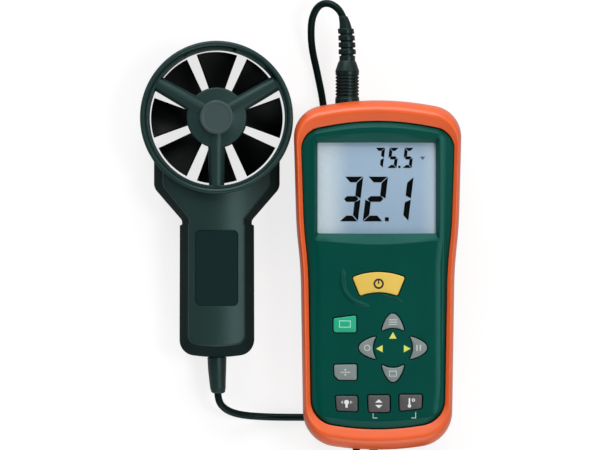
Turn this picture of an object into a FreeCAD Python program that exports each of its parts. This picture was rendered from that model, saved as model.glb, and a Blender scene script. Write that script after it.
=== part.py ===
import FreeCAD, Part
import math
import os
import Sketcher
from FreeCAD import Placement, Rotation, Vector

# Handheld weather meter: a meter in a rubber boot, a vane probe and the cord that joins them.
# Everything lies on its back on a table, +Z up, millimetres. The origin is on the table, under the
# middle of the meter and probe together. +Y runs towards the heads of both.

# ---------------------------------------------------------------- driving sizes
SIZES = {
    # the meter's case and boot, heights above the table
    "meter_x": 37.2, "boot_back": 4.4, "boot_front": 39.0, "boot_half": 40.5, "waist_half": 36.9,
    "foot_half": 35.6, "head_y": 64.6, "tail_y": 94.4, "crown_y": 71.5, "heel_y": 99.4,
    "crown_radius": 140.0, "flank_radius": 200.0, "head_radius": 15.0, "tail_radius": 17.0,
    "boot_wall": 3.2, "lip_thick": 2.4, "back_lip": 9.0, "roll_rise": 12.0, "crest_side": 1.8,
    "crest_end": 5.3, "lip_side": 3.6, "lip_end": 9.9, "lip_drop": 1.6,
    "foot_half_wide": 2.8, "foot_half_long": 9.0,
    "case_back": 6.6, "case_split": 22.0, "face_top": 38.6, "case_wall": 2.0, "ceiling": 34.2,
    "board_back": 28.0, "board_thick": 1.6, "mat_top": 32.3,
    # keys
    "key_base": 33.2, "key_top": 39.3, "key_gap": 0.5, "key_flange": 0.8, "key_round": 0.35,
    # display
    "glass_half": 28.3, "glass_low": 5.7, "glass_high": 49.1, "glass_middle": -0.5,
    # plug and socket
    "plug_x": -14.5, "plug_z": 22.0, "plug_radius": 5.65,
    # rear of the meter
    "stand_half": 18.5, "stand_hinge_y": 34.0, "stand_tip_y": -24.0, "stand_thick": 2.4,
    "pin_radius": 1.0, "pin_z": 9.2, "pin_long": 43.0, "bush_radius": 4.0, "bush_bore": 2.55,
    "bush_length": 7.0, "bush_y": 48.0, "battery_long": 48.5, "battery_wide": 26.5, "battery_deep": 17.5,
    # probe
    "probe_x": -40.0, "probe_y": 61.3, "duct_outer": 36.7, "duct_inner": 32.9, "duct_deep": 32.0,
    "handle_thick": 28.0, "handle_split": 14.0, "handle_half": 17.8, "handle_end": 113.4,
    "handle_belly": 2.5, "neck_notch": 1.1, "shoulder_half": 30.2, "facet_half": 13.3,
    "facet_rise": 7.5, "back_bevel": 4.5, "handle_wall": 4.0, "label_deep": 0.7, "relief_end": 132.7,
    "hub_radius": 12.0, "tip_radius": 31.7, "blade_deep": 12.4, "blade_thick": 1.1,
    "blade_gap": 3.1, "blade_camber": 0.04, "shaft_radius": 1.0, "fan_z": 16.0,
    "guard_hub": 14.4, "boss_radius": 8.0, "spoke_wide": 7.0,
    # cord
    "cord_thick": 3.5, "coil_x": 50.0, "coil_y": -132.0, "coil_inner": 10.4, "coil_outer": 27.8,
    "coil_high": 7.0,
}

doc = FreeCAD.newDocument("weather_meter")
sheet = doc.addObject("Spreadsheet::Sheet", "sizes")
for row, (alias, value) in enumerate(SIZES.items(), 1):
    sheet.set(f"A{row}", alias)
    sheet.set(f"B{row}", str(value))
    sheet.setAlias(f"B{row}", alias)
doc.recompute()

METER = ("meter_x", "0")
PROBE = ("probe_x", "probe_y")
parts = []


def size(alias):
    """A driving size read back from the sheet."""
    return float(sheet.get(alias))


def bind(item, **links):
    """Bind properties to formulas on the sheet; a dot in a property's name is written as __."""
    for name, formula in links.items():
        for alias in sorted(SIZES, key=len, reverse=True):
            words = str(formula).split(" ")
            formula = " ".join(f"sizes.{alias}" if word == alias else word for word in words)
        item.setExpression(name.replace("__", "."), str(formula))
    return item


def body(label, where=METER, lift=0, turn=0):
    """A new sub-part, placed on the meter's or the probe's axis."""
    made = doc.addObject("PartDesign::Body", label)
    made.Label = label
    made.Placement = Placement(Vector(0, 0, lift), Rotation(Vector(0, 0, 1), turn))
    bind(made, Placement__Base__x=where[0], Placement__Base__y=where[1])
    parts.append(made)
    return made


def plane(owner, role):
    return next(item for item in owner.Origin.OriginFeatures if item.Role == role)


def sketch(owner, name, edges, lift="0", role="XY_Plane"):
    """A sketch of the edges on one of the body's own planes, lifted along the plane's normal."""
    drawing = owner.newObject("Sketcher::SketchObject", name)
    drawing.AttachmentSupport = [(plane(owner, role), "")]
    drawing.MapMode = "FlatFace"
    drawing.addGeometry(edges, False)
    bind(drawing, AttachmentOffset__Base__z=lift)
    return drawing


def ring(radius, x=0.0, y=0.0):
    return Part.Circle(Vector(x, y, 0), Vector(0, 0, 1), radius)


def pad(owner, name, edges, low, high, cut=False, role="XY_Plane"):
    """Material between two heights, or a pocket there."""
    kind = "PartDesign::Pocket" if cut else "PartDesign::Pad"
    drawing = sketch(owner, name + "_sketch", edges, low, role)
    feature = owner.newObject(kind, name)
    feature.Profile = drawing
    feature.Reversed = cut
    return bind(feature, Length=f"( {high} ) - ( {low} )")


def loft(owner, name, levels, cut=False, role="XY_Plane"):
    """Straight-sided skin through outlines at rising heights."""
    drawings = [sketch(owner, f"{name}_{i}", edges, lift, role)
                for i, (edges, lift) in enumerate(levels)]
    kind = "PartDesign::SubtractiveLoft" if cut else "PartDesign::AdditiveLoft"
    feature = owner.newObject(kind, name)
    feature.Profile = drawings[0]
    feature.Sections = drawings[1:]
    feature.Ruled = True
    return feature


def turned(owner, name, profile, along="z", cut=False):
    """A profile of (radius, distance) points turned about the body's Z or Y axis."""
    points = [Vector(radius, distance, 0) for radius, distance in profile]
    edges = [Part.LineSegment(a, b) for a, b in zip(points, points[1:] + points[:1])]
    drawing = sketch(owner, name + "_sketch", edges, "0", "XZ_Plane" if along == "z" else "XY_Plane")
    feature = owner.newObject("PartDesign::Groove" if cut else "PartDesign::Revolution", name)
    feature.Profile = drawing
    feature.ReferenceAxis = (drawing, ["V_Axis"])
    feature.Angle = 360
    return feature


UP = Rotation()
ALONG_Y = Rotation(Vector(1, 0, 0), -90)
ALONG_X = Rotation(Vector(0, 1, 0), 90)


def rod(owner, name, radius, length, base, way=UP, cut=False):
    """A cylinder from its base point, added to the body or cut out of it."""
    kind = "PartDesign::SubtractiveCylinder" if cut else "PartDesign::AdditiveCylinder"
    feature = owner.newObject(kind, name)
    feature.Placement = Placement(Vector(*base), way)
    return bind(feature, Radius=radius, Height=length)


def block(owner, name, low, high, cut=False):
    """A box between two corners, added to the body or cut out of it."""
    kind = "PartDesign::SubtractiveBox" if cut else "PartDesign::AdditiveBox"
    feature = owner.newObject(kind, name)
    feature.Placement = Placement(Vector(*low), UP)
    return bind(feature, Length=high[0] - low[0], Width=high[1] - low[1], Height=high[2] - low[2])


def polar(owner, name, features, count):
    feature = owner.newObject("PartDesign::PolarPattern", name)
    feature.Originals = features
    feature.Axis = (plane(owner, "Z_Axis"), [""])
    feature.Angle = 360
    feature.Occurrences = count
    owner.Tip = feature
    return feature


def bevel_edges(owner, name, feature, width, chosen):
    """Bevel the edges of a feature that a test picks."""
    doc.recompute()
    names = [f"Edge{i}" for i, edge in enumerate(feature.Shape.Edges, 1) if chosen(edge)]
    bevel = owner.newObject("PartDesign::Chamfer", name)
    bevel.Base = (feature, names)
    return bind(bevel, Size=width)


# ---------------------------------------------------------------- outlines
def rounded(corners):
    """A closed outline from its corners (x, y, radius), each corner an arc."""
    places = [Vector(x, y, 0) for x, y, _ in corners]
    ends = []
    for i, (place, corner) in enumerate(zip(places, corners)):
        before = (places[i - 1] - place).normalize()
        after = (places[(i + 1) % len(places)] - place).normalize()
        half = before.getAngle(after) / 2
        reach = corner[2] / math.tan(half)
        inward = (before + after).normalize()
        middle = place + inward * (corner[2] / math.sin(half) - corner[2])
        ends.append((place + before * reach, middle, place + after * reach))
    edges = []
    for i, (start, middle, end) in enumerate(ends):
        following = ends[(i + 1) % len(ends)][0]
        if (following - end).dot(places[(i + 1) % len(ends)] - places[i]) < -1e-6:
            raise ValueError(f"the arcs of corners {i} and {i + 1} overlap in {corners}")
        edges.append(Part.Arc(start, middle, end))
        if (following - end).Length > 1e-4:
            edges.append(Part.LineSegment(end, following))
    return edges


def tablet(left, low, right, high, radius):
    """A rectangle with rounded corners."""
    return rounded([(left, low, radius), (right, low, radius), (right, high, radius),
                    (left, high, radius)])


def mirrored(top, right, bottom):
    """An outline from its right half, mirrored about the axis."""
    return rounded([top, *right, bottom, *[(-x, y, radius) for x, y, radius in reversed(right)]])


def case_outline(side, end):
    """The boot's outside outline, drawn in by side off each flank and end off each end."""
    soften = (side + end) / 3
    flank = size("flank_radius")
    crown = size("crown_radius") - 5 * side
    right = [
        (size("boot_half") - side, size("head_y") - end, size("head_radius") - soften),
        (size("boot_half") - 1.5 - side, 9, flank),
        (size("waist_half") - side, -11, flank),
        (size("foot_half") - side, end - size("tail_y"), size("tail_radius") - soften),
    ]
    return mirrored((0, size("crown_y") - end, crown), right, (0, end - size("heel_y"), crown))


def grown(edges, by):
    """A closed outline moved outwards, or inwards where by is negative."""
    wire = Part.Wire([edge.toShape() for edge in edges]).makeOffset2D(by)
    moved = []
    for edge in wire.Edges:
        first, last = edge.Vertexes[0].Point, edge.Vertexes[-1].Point
        if isinstance(edge.Curve, Part.Circle):
            middle = edge.valueAt((edge.FirstParameter + edge.LastParameter) / 2)
            moved.append(Part.Arc(first, middle, last))
        else:
            moved.append(Part.LineSegment(first, last))
    return moved


def polygon(*corners):
    places = [Vector(x, y, 0) for x, y in corners]
    return [Part.LineSegment(a, b) for a, b in zip(places, places[1:] + places[:1])]


def sector(x, y, inner, outer, half_angle):
    """A piece of a ring about (x, y), symmetric about its +Y direction."""
    def at(radius, angle):
        lean = math.radians(angle)
        return Vector(x + radius * math.sin(lean), y + radius * math.cos(lean), 0)
    return [
        Part.Arc(at(outer, -half_angle), at(outer, 0), at(outer, half_angle)),
        Part.LineSegment(at(outer, half_angle), at(inner, half_angle)),
        Part.Arc(at(inner, half_angle), at(inner, 0), at(inner, -half_angle)),
        Part.LineSegment(at(inner, -half_angle), at(outer, -half_angle)),
    ]


def petal(direction):
    """An arrow key: a bulged outer side and a hollow inner side, about the pad's middle."""
    pad_x, pad_y, inner, reach, half_angle = 7.2, -49.0, 9.6, 16.4, 34.0
    lean = math.radians(half_angle)

    def at(radius, angle):
        total = math.radians(direction) + angle
        return Vector(pad_x + radius * math.cos(total), pad_y + radius * math.sin(total), 0)
    return [
        Part.Arc(at(inner, -lean), at(inner, 0), at(inner, lean)),
        Part.Arc(at(inner, lean), at(reach - 2.6, lean * 0.42), at(reach, 0)),
        Part.Arc(at(reach, 0), at(reach - 2.6, -lean * 0.42), at(inner, -lean)),
    ]


def key_outlines():
    """Each key's outline, with its corners softened."""
    sharp = {
        "power_key": sector(0.4, -46.0, 23.6, 33.2, 22.3),
        "area_key": polygon((-21.2, -41.6), (-10.3, -41.6), (-10.3, -33.5), (-21.2, -34.9)),
        "average_key": polygon((-18.9, -64.3), (-10.1, -64.4), (-10.1, -56.9), (-21.0, -57.1),
                               (-20.8, -62.2)),
        "light_key": polygon((-19.6, -78.9), (-9.7, -79.4), (-9.7, -72.0), (-20.3, -72.0)),
        "max_min_key": polygon((-4.4, -79.7), (5.7, -79.7), (5.7, -71.7), (-4.8, -71.7)),
        "temperature_key": polygon((10.4, -79.2), (20.9, -77.8), (21.2, -71.4), (10.2, -71.4)),
        "right_key": petal(0),
        "up_key": petal(90),
        "left_key": petal(180),
        "down_key": petal(270),
    }
    return {label: grown(grown(edges, -0.9), 0.9) for label, edges in sharp.items()}


KEYS = key_outlines()
CASE_POSTS = [(28.5, 56.0), (-28.5, 56.0), (22.0, -84.0), (-22.0, -84.0)]
BOARD_POSTS = [(28.5, -5.0), (-28.5, -5.0), (27.5, -72.0), (-27.5, -72.0)]


# ---------------------------------------------------------------- meter: boot and case
def meter_boot():
    """Rubber boot: it rolls up to a crest and slopes down to the face; rear lip, four feet, plug hole."""
    boot = body("meter_boot")
    top, rise = size("boot_front"), size("roll_rise")
    side, end = size("crest_side"), size("crest_end")
    levels = [(case_outline(2.4, 3.0), "boot_back"), (case_outline(0.7, 0.9), "boot_back + 0.8"),
              (case_outline(0, 0), "boot_back + 2.8")]
    for angle in (0, 30, 55, 75, 90):
        lean = math.radians(angle)
        rolled = 1 - math.cos(lean)
        levels.append((case_outline(side * rolled, end * rolled), top - rise + rise * math.sin(lean)))
    loft(boot, "skin", levels)
    wall, rear = size("boot_wall"), size("back_lip")
    opening = case_outline(size("lip_side"), size("lip_end"))
    pad(boot, "case_room", case_outline(wall, wall), "case_back", "boot_front - lip_thick", cut=True)
    pad(boot, "front_opening", opening, "boot_front - lip_thick - 2", "boot_front + 1", cut=True)
    loft(boot, "face_slope", [(opening, top - size("lip_drop")), (case_outline(side, end), top + 0.01)],
         cut=True)
    pad(boot, "rear_opening", case_outline(rear, rear), "boot_back - 1", "case_back + 1", cut=True)
    rod(boot, "plug_hole", "plug_radius + 0.6", 16, (size("plug_x"), 58, size("plug_z")),
        ALONG_Y, cut=True)
    wide, long = size("foot_half_wide"), size("foot_half_long")
    for name, x, y in (("head", 34.4, 48.0), ("tail", 30.3, -66.0)):
        for flank, middle in (("left", -x), ("right", x)):
            foot = tablet(middle - wide, y - long, middle + wide, y + long, 2.5)
            pad(boot, f"{name}_{flank}_foot", foot, 0, "boot_back + 0.3")


def front_cover():
    """Front half of the case: dished display window, raised face, key holes, inner posts."""
    cover = body("front_cover")
    wall = size("boot_wall")
    inner = wall + size("case_wall")
    low, high, half = size("glass_low"), size("glass_high"), size("glass_half")
    middle = size("glass_middle")
    pad(cover, "shell", case_outline(wall, wall), "case_split", "boot_front - lip_thick")
    face = mirrored((0, 58.2, 140), [(31.8, 53.0, 2.6), (31.7, 9, 200), (31.3, -11, 200),
                                     (31.0, -81.0, 8)], (0, -85.3, 140))
    loft(cover, "face", [(case_outline(wall + 0.6, 10.2), "boot_front - lip_thick - 0.1"),
                         (face, "face_top")])
    pad(cover, "hollow", case_outline(inner, inner), "case_split - 1", "ceiling", cut=True)
    window = [(middle - half, low, 0.8), (middle + half, low, 0.8), (middle + half, high, 0.8),
              (middle - half, high, 0.8)]
    pad(cover, "window", rounded(window), "ceiling - 1", "face_top + 1", cut=True)
    pad(cover, "window_seat", tablet(middle - 30.6, 3.4, middle + 30.6, 51.4, 2), "ceiling - 1",
        "ceiling + 1.5", cut=True)
    floor_edge = rounded([(middle - half, low, 0.8), (middle, low - 0.6, 200),
                          (middle + half, low, 0.8), (middle + half, high, 0.8),
                          (middle, high + 0.8, 200), (middle - half, high, 0.8)])
    rim_edge = rounded([(middle - 29.7, 2.6, 1.2), (middle, 0.0, 160), (middle + 29.7, 2.6, 1.2),
                        (middle + 29.7, 51.2, 1.2), (middle, 54.2, 140), (middle - 29.7, 51.2, 1.2)])
    loft(cover, "window_bevel", [(floor_edge, "face_top - 1.9"), (rim_edge, "face_top + 0.01")],
         cut=True)
    for label, edges in KEYS.items():
        pad(cover, label + "_hole", grown(edges, size("key_gap")), "ceiling - 1", "face_top + 1",
            cut=True)
    for i, (x, y) in enumerate(CASE_POSTS):
        rod(cover, f"case_post_{i}", 3.5, "ceiling - case_split + 0.2", (x, y, size("case_split")))
        rod(cover, f"case_post_bore_{i}", 1.5, 8, (x, y, size("case_split")), cut=True)
    board_front = size("board_back") + size("board_thick")
    for i, (x, y) in enumerate(BOARD_POSTS):
        rod(cover, f"board_post_{i}", 2.4, f"ceiling - {board_front} + 0.2", (x, y, board_front))
        rod(cover, f"board_post_bore_{i}", 1.0, 3.5, (x, y, board_front), cut=True)
    rod(cover, "plug_hole", 5.1, 12, (size("plug_x"), 58, size("plug_z")), ALONG_Y, cut=True)


def rear_cover():
    """Rear half of the case: battery bay, stand recess with its hinge lugs, tripod boss."""
    cover = body("rear_cover")
    wall = size("boot_wall")
    inner = wall + size("case_wall")
    back = size("case_back")
    pad(cover, "shell", case_outline(wall, wall), "case_back", "case_split")
    pad(cover, "hollow", case_outline(inner, inner), "case_back + case_wall", "case_split + 1", cut=True)
    block(cover, "stand_tub", (-22, -28, back), (22, 39.5, back + 6))
    rod(cover, "hinge_tub", 5.6, 44, (-22, size("stand_hinge_y"), size("pin_z")), ALONG_X)
    block(cover, "hinge_trim", (-23, 27, 0), (23, 41, back), cut=True)
    recess = tablet(-size("stand_half") - 0.6, size("stand_tip_y") - 0.6, size("stand_half") + 0.6,
                    size("stand_hinge_y") + 2, 3)
    pad(cover, "stand_recess", recess, "case_back - 5", "case_back + 3.2", cut=True)
    rod(cover, "hinge_recess", 3.2, "stand_half * 2 + 1.2",
        (-size("stand_half") - 0.6, size("stand_hinge_y"), size("pin_z")), ALONG_X, cut=True)
    block(cover, "hinge_slot", (-size("stand_half") - 0.6, size("stand_hinge_y") - 3.2, back - 5),
          (size("stand_half") + 0.6, size("stand_hinge_y") + 3.2, size("pin_z")), cut=True)
    rod(cover, "pin_bore", "pin_radius", "pin_long", (-21.5, size("stand_hinge_y"), size("pin_z")), ALONG_X,
        cut=True)
    block(cover, "finger_scoop", (-6, size("stand_tip_y") - 6, back - 5),
          (6, size("stand_tip_y") + 1, back + 1.6), cut=True)
    rod(cover, "tripod_boss", 6.5, "bush_length + 1.5", (0, size("bush_y"), back))
    rod(cover, "tripod_bore", "bush_radius", "bush_length", (0, size("bush_y"), back), cut=True)
    pad(cover, "bay_walls", tablet(-15.6, -88.6, 15.6, -35.2, 1), "case_back", "case_back + 17")
    pad(cover, "bay", tablet(-13.5, -86.4, 13.5, -37.0, 0.8), "case_back - 5", "case_split + 5", cut=True)
    pad(cover, "door_seat", tablet(-15.0, -87.9, 15.0, -29.2, 2), "case_back - 5", "case_back + 1.6",
        cut=True)
    rod(cover, "door_post", 3.0, 7.5, (0, -32.8, back + 1.6))
    rod(cover, "door_post_bore", 1.2, 6.8, (0, -32.8, back), cut=True)
    for i, (x, y) in enumerate(CASE_POSTS):
        rod(cover, f"case_post_{i}", 3.5, "case_split - case_back", (x, y, back))
        rod(cover, f"screw_head_{i}", 2.8, 2.2, (x, y, back), cut=True)
        rod(cover, f"screw_bore_{i}", 1.6, "case_split - case_back", (x, y, back), cut=True)
    rod(cover, "plug_hole", 5.1, 12, (size("plug_x"), 58, size("plug_z")), ALONG_Y, cut=True)


def screws(label, places, head, shank, base, lengths, where=METER):
    """A group of like pan-head screws, heads at the base height and shanks up."""
    group = []
    for i, (x, y) in enumerate(places):
        top = doc.addObject("Part::Cylinder", f"{label}_head_{i}")
        stem = doc.addObject("Part::Cylinder", f"{label}_stem_{i}")
        top.Radius, top.Height = head, lengths[0]
        stem.Radius, stem.Height = shank, lengths[1]
        top.Placement = Placement(Vector(x, y, base), UP)
        stem.Placement = Placement(Vector(x, y, base + lengths[0] - 0.1), UP)
        slot = doc.addObject("Part::Box", f"{label}_slot_{i}")
        slot.Length, slot.Width, slot.Height = head * 1.4, 0.6, 0.6
        slot.Placement = Placement(Vector(x - head * 0.7, y - 0.3, base - 0.1), UP)
        joined = doc.addObject("Part::Fuse", f"{label}_blank_{i}")
        joined.Base, joined.Tool = top, stem
        made = doc.addObject("Part::Cut", f"{label}_{i}")
        made.Base, made.Tool = joined, slot
        group.append(made)
    if len(group) == 1:
        whole = group[0]
    else:
        whole = doc.addObject("Part::Compound", label)
        whole.Links = group
    whole.Label = label
    bind(whole, Placement__Base__x=where[0], Placement__Base__y=where[1])
    parts.append(whole)


# ---------------------------------------------------------------- meter: display and inside
def display():
    middle = size("glass_middle")
    window = body("lcd_window")
    pad(window, "pane", tablet(middle - 30.5, 3.5, middle + 30.5, 51.3, 1.8), "ceiling", "ceiling + 1.5")
    panel = body("lcd_panel")
    pad(panel, "glass", tablet(middle - 29.8, 4.2, middle + 29.8, 50.7, 0.6), "ceiling - 2.4", "ceiling")
    frame = body("lcd_frame")
    board_front = "board_back + board_thick"
    pad(frame, "frame", tablet(middle - 31.4, 2.4, middle + 31.4, 52.0, 1.5), board_front, "ceiling - 0.2")
    pad(frame, "frame_room", tablet(middle - 29.9, 4.1, middle + 29.9, 50.8, 0.6), "board_back", "ceiling",
        cut=True)
    light = body("lcd_backlight")
    pad(light, "diffuser", tablet(middle - 29.5, 9.0, middle + 29.5, 46.0, 0.6), board_front,
        "ceiling - 2.5")
    strips = body("lcd_connector")
    pad(strips, "strip", tablet(middle - 27, 4.5, middle + 27, 7.5, 0.4), board_front, "ceiling - 2.4")


def main_board():
    """Circuit board with a tab for the socket."""
    board = body("main_board")
    edges = rounded([(-29.5, -80.3, 6), (29.5, -80.3, 6), (30, 51.6, 2), (23.5, 51.6, 1), (23.5, 60, 2),
                     (-23.5, 60, 2), (-23.5, 51.6, 1), (-30, 51.6, 2)])
    pad(board, "plate", edges, "board_back", "board_back + board_thick")
    for i, (x, y) in enumerate(BOARD_POSTS):
        rod(board, f"screw_hole_{i}", 1.1, 4, (x, y, size("board_back") - 1), cut=True)
    chips = body("board_components")
    pad(chips, "processor", tablet(-7, 20, 7, 34, 0.5), "board_back - 1.6", "board_back")
    pad(chips, "sounder", [ring(6, 18, 26)], "board_back - 4", "board_back")
    pad(chips, "amplifier", tablet(-20, 24, -14, 30, 0.4), "board_back - 1.5", "board_back")


def keypad():
    """Keys, the rubber mat behind them and the domes that they press."""
    mat = body("keypad_mat")
    pad(mat, "mat", tablet(-24.5, -80.2, 24.6, -9.0, 2), "board_back + board_thick", "mat_top")
    pad(mat, "mat_room", tablet(-23.3, -79.0, 23.4, -10.2, 1), "board_back", "mat_top - 1", cut=True)
    domes = body("dome_switches")
    for label, edges in KEYS.items():
        middle = Part.Wire([edge.toShape() for edge in edges]).BoundBox.Center
        x, y = middle.x, middle.y
        rod(mat, label + "_hole", 2.3, 4, (x, y, size("mat_top") - 2), cut=True)
        rod(domes, label + "_dome", 2.4, 0.8, (x, y, size("board_back") + size("board_thick")))
        key = body(label)
        flange = size("key_flange")
        box = Part.Wire([edge.toShape() for edge in edges]).BoundBox
        cap = pad(key, label + "_cap", edges, "key_base", "key_top")
        bevel_edges(key, label + "_edge", cap, "key_round",
                    lambda edge: edge.BoundBox.ZMin > size("key_top") - 0.01)
        block(key, label + "_flange", (box.XMin - flange, box.YMin - flange, size("key_base")),
              (box.XMax + flange, box.YMax + flange, size("key_base") + 0.8))
        rod(key, label + "_stem", 1.6, 1.9, (x, y, size("key_base") - 1.8))


def socket_and_battery():
    x, z = size("plug_x"), size("plug_z")
    socket = body("sensor_socket")
    block(socket, "block", (x - 6, 50.5, z - 6), (x + 6, 62.0, size("board_back")))
    rod(socket, "collar", 5.0, 4.2, (x, 61.8, z), ALONG_Y)
    rod(socket, "bore", 4.6, 12, (x, 55, z), ALONG_Y, cut=True)
    battery = body("battery")
    base = size("case_back") + 2
    block(battery, "cell", (-13.25, -86, base), (13.25, -37.5, base + size("battery_deep")))
    straps = body("battery_contacts")
    for i, side in enumerate((-1, 1)):
        rod(straps, f"stud_{i}", 3.0, 0.5, (side * 6.3, -37.5, base + 9), ALONG_Y)
    door = body("battery_door")
    pad(door, "plate", tablet(-14.8, -87.7, 14.8, -29.4, 1.8), "case_back", "case_back + 1.6")
    rod(door, "screw_hole", 1.6, 4, (0, -32.8, size("case_back") - 1), cut=True)
    rod(door, "screw_seat", 2.6, 1.0, (0, -32.8, size("case_back")), cut=True)
    for i in range(4):
        block(door, f"grip_{i}", (-7, -84 + 2.4 * i, size("case_back") - 1),
              (7, -82.9 + 2.4 * i, size("case_back") + 0.5), cut=True)


def stand_and_bush():
    """Fold-out stand with a lightening window, its steel pin and the tripod bush."""
    y, z, half = size("stand_hinge_y"), size("pin_z"), size("stand_half")
    stand = body("tilt_stand")
    outline = rounded([(-half, size("stand_hinge_y"), 0.5), (-half + 2.5, size("stand_tip_y"), 4),
                       (half - 2.5, size("stand_tip_y"), 4), (half, size("stand_hinge_y"), 0.5)])
    pad(stand, "leaf", outline, "case_back", "case_back + stand_thick")
    pad(stand, "leaf_window", tablet(-8, -6, 8, 17, 4), "case_back - 1", "case_back + 5", cut=True)
    rod(stand, "barrel", "pin_z - case_back", "stand_half * 2", (-half, y, z), ALONG_X)
    rod(stand, "barrel_bore", "pin_radius + 0.05", 44, (-22, y, z), ALONG_X, cut=True)
    pin = body("stand_pin")
    rod(pin, "pin", "pin_radius", "pin_long", (-21.5, y, z), ALONG_X)
    bush = body("tripod_bush")
    outer, bore, length = size("bush_radius"), size("bush_bore"), size("bush_length")
    low = size("case_back")
    turned(bush, "bush", [(bore, low + 0.4), (bore + 0.4, low), (outer, low), (outer, low + length),
                          (bore, low + length)])
    bush.Placement = Placement(Vector(0, size("bush_y"), 0), UP)
    bind(bush, Placement__Base__x="meter_x", Placement__Base__y="bush_y")


# ---------------------------------------------------------------- probe
def handle_outline(inset):
    """The handle's outline below the ring: shoulders, taper, a notch above the grip, rounded end."""
    shoulder, half, end = size("shoulder_half") - inset, size("handle_half") - inset, size("handle_end")
    neck, belly = half - size("neck_notch"), size("handle_belly")
    right = [(shoulder, -16, 1.0), (shoulder, -33.8 - inset * 0.4, 6), (neck, -49.4 - inset * 0.4, 3),
             (neck, -51.3, 0.3), (half, -51.8, 0.4), (half + 0.15, inset - end, 7.5)]
    return mirrored((0, -15.9, 100), right, (0, inset - end - belly, 80))


def handle_facet(half_extra):
    """The flat on the handle's front or back, flared towards the ring."""
    shoulder, half = 25.5 + half_extra, size("facet_half") + half_extra
    neck = half - 0.4
    right = [(shoulder, -16, 1.0), (shoulder, -32.8, 6), (neck, -48.6, 3), (neck, -51.3, 0.3),
             (half, -51.6, 0.4), (half + 0.1, -107.9, 4)]
    return mirrored((0, -15.9, 100), right, (0, -110.2, 55))


SCREW_ROWS = [(0, -48.0), (0, -100.0)]


def handle_shells():
    front = body("handle_front_shell", PROBE)
    room = tablet(-13.5, -106, 13.5, -38.5, 3)
    pad(front, "side", handle_outline(0), "handle_split", "handle_thick - facet_rise")
    loft(front, "front", [(handle_outline(0), "handle_thick - facet_rise"),
                          (handle_facet(0), "handle_thick")])
    pad(front, "room", room, "handle_split - 1", "handle_thick - handle_wall", cut=True)
    pad(front, "label_recess", tablet(-10.3, -90.5, 10.3, -54.0, 2.6), "handle_thick - label_deep",
        "handle_thick + 1", cut=True)
    for i, (x, y) in enumerate(SCREW_ROWS):
        rod(front, f"post_{i}", 3.0, "handle_thick - handle_wall - handle_split + 0.2",
            (x, y, size("handle_split")))
        rod(front, f"post_bore_{i}", 1.2, 6, (x, y, size("handle_split")), cut=True)
    rear = body("handle_rear_shell", PROBE)
    loft(rear, "back", [(handle_facet(2.0), 0), (handle_outline(0), "back_bevel")])
    pad(rear, "side", handle_outline(0), "back_bevel", "handle_split")
    pad(rear, "room", room, 2.4, "handle_split + 1", cut=True)
    for i, (x, y) in enumerate(SCREW_ROWS):
        rod(rear, f"post_{i}", 3.4, size("handle_split") - 2.2, (x, y, 2.2))
        rod(rear, f"screw_seat_{i}", 2.4, 3.0, (x, y, -0.1), cut=True)
        rod(rear, f"screw_bore_{i}", 1.3, size("handle_split"), (x, y, 1), cut=True)
    for shell in (front, rear):
        rod(shell, shell.Label + "_saddle", "duct_outer", 40, (0, 0, -4), cut=True)
        rod(shell, shell.Label + "_cord_hole", 4.2, 20, (0, -118, size("handle_split")), ALONG_Y, cut=True)
        rod(shell, shell.Label + "_flange_room", 5.6, 2.2, (0, -109.6, size("handle_split")), ALONG_Y,
            cut=True)
    plate = body("label_plate", PROBE)
    pad(plate, "plate", tablet(-10.2, -90.4, 10.2, -54.1, 2.5), "handle_thick - label_deep",
        "handle_thick - 0.1")
    relief = body("probe_strain_relief", PROBE, lift=size("handle_split"))
    tip = -size("relief_end")
    turned(relief, "sleeve", [(0, -108), (3.2, -108), (5.5, -107.6), (5.5, -109.5), (4.15, -109.6),
                              (4.15, -115.3), (4.6, -115.5), (4.4, -121), (3.75, -130.2), (3.3, tip + 0.6),
                              (2.4, tip), (0, tip)], along="y")
    board = body("probe_board", PROBE)
    pad(board, "plate", tablet(-9, -92, 9, -56, 1), 11.5, 12.9)
    for i, y in enumerate((-90, -58)):
        block(board, f"rest_{i}", (-3, y - 1, 2.4), (3, y + 1, 11.6))
    pickup = body("pickup_coil", PROBE, lift=0)
    block(pickup, "bobbin", (-5, -44, 2.4), (5, -38.6, 19))


def duct():
    """The round duct: rolled rims, seats for both guards and a small groove behind the front lip."""
    outer, inner, deep = size("duct_outer"), size("duct_inner"), size("duct_deep")
    ring_body = body("vane_duct", PROBE)
    turned(ring_body, "ring", [
        (inner, 6.2), (inner + 1.4, 6.2), (inner + 1.4, 1.0), (outer - 1.6, 0), (outer - 0.5, 0.5),
        (outer, 1.8),
        (outer, deep - 1.8), (outer - 0.5, deep - 0.5), (outer - 1.6, deep), (inner + 1.4, deep - 0.8),
        (inner + 1.4, 25.4), (inner, 25.4)])


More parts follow.
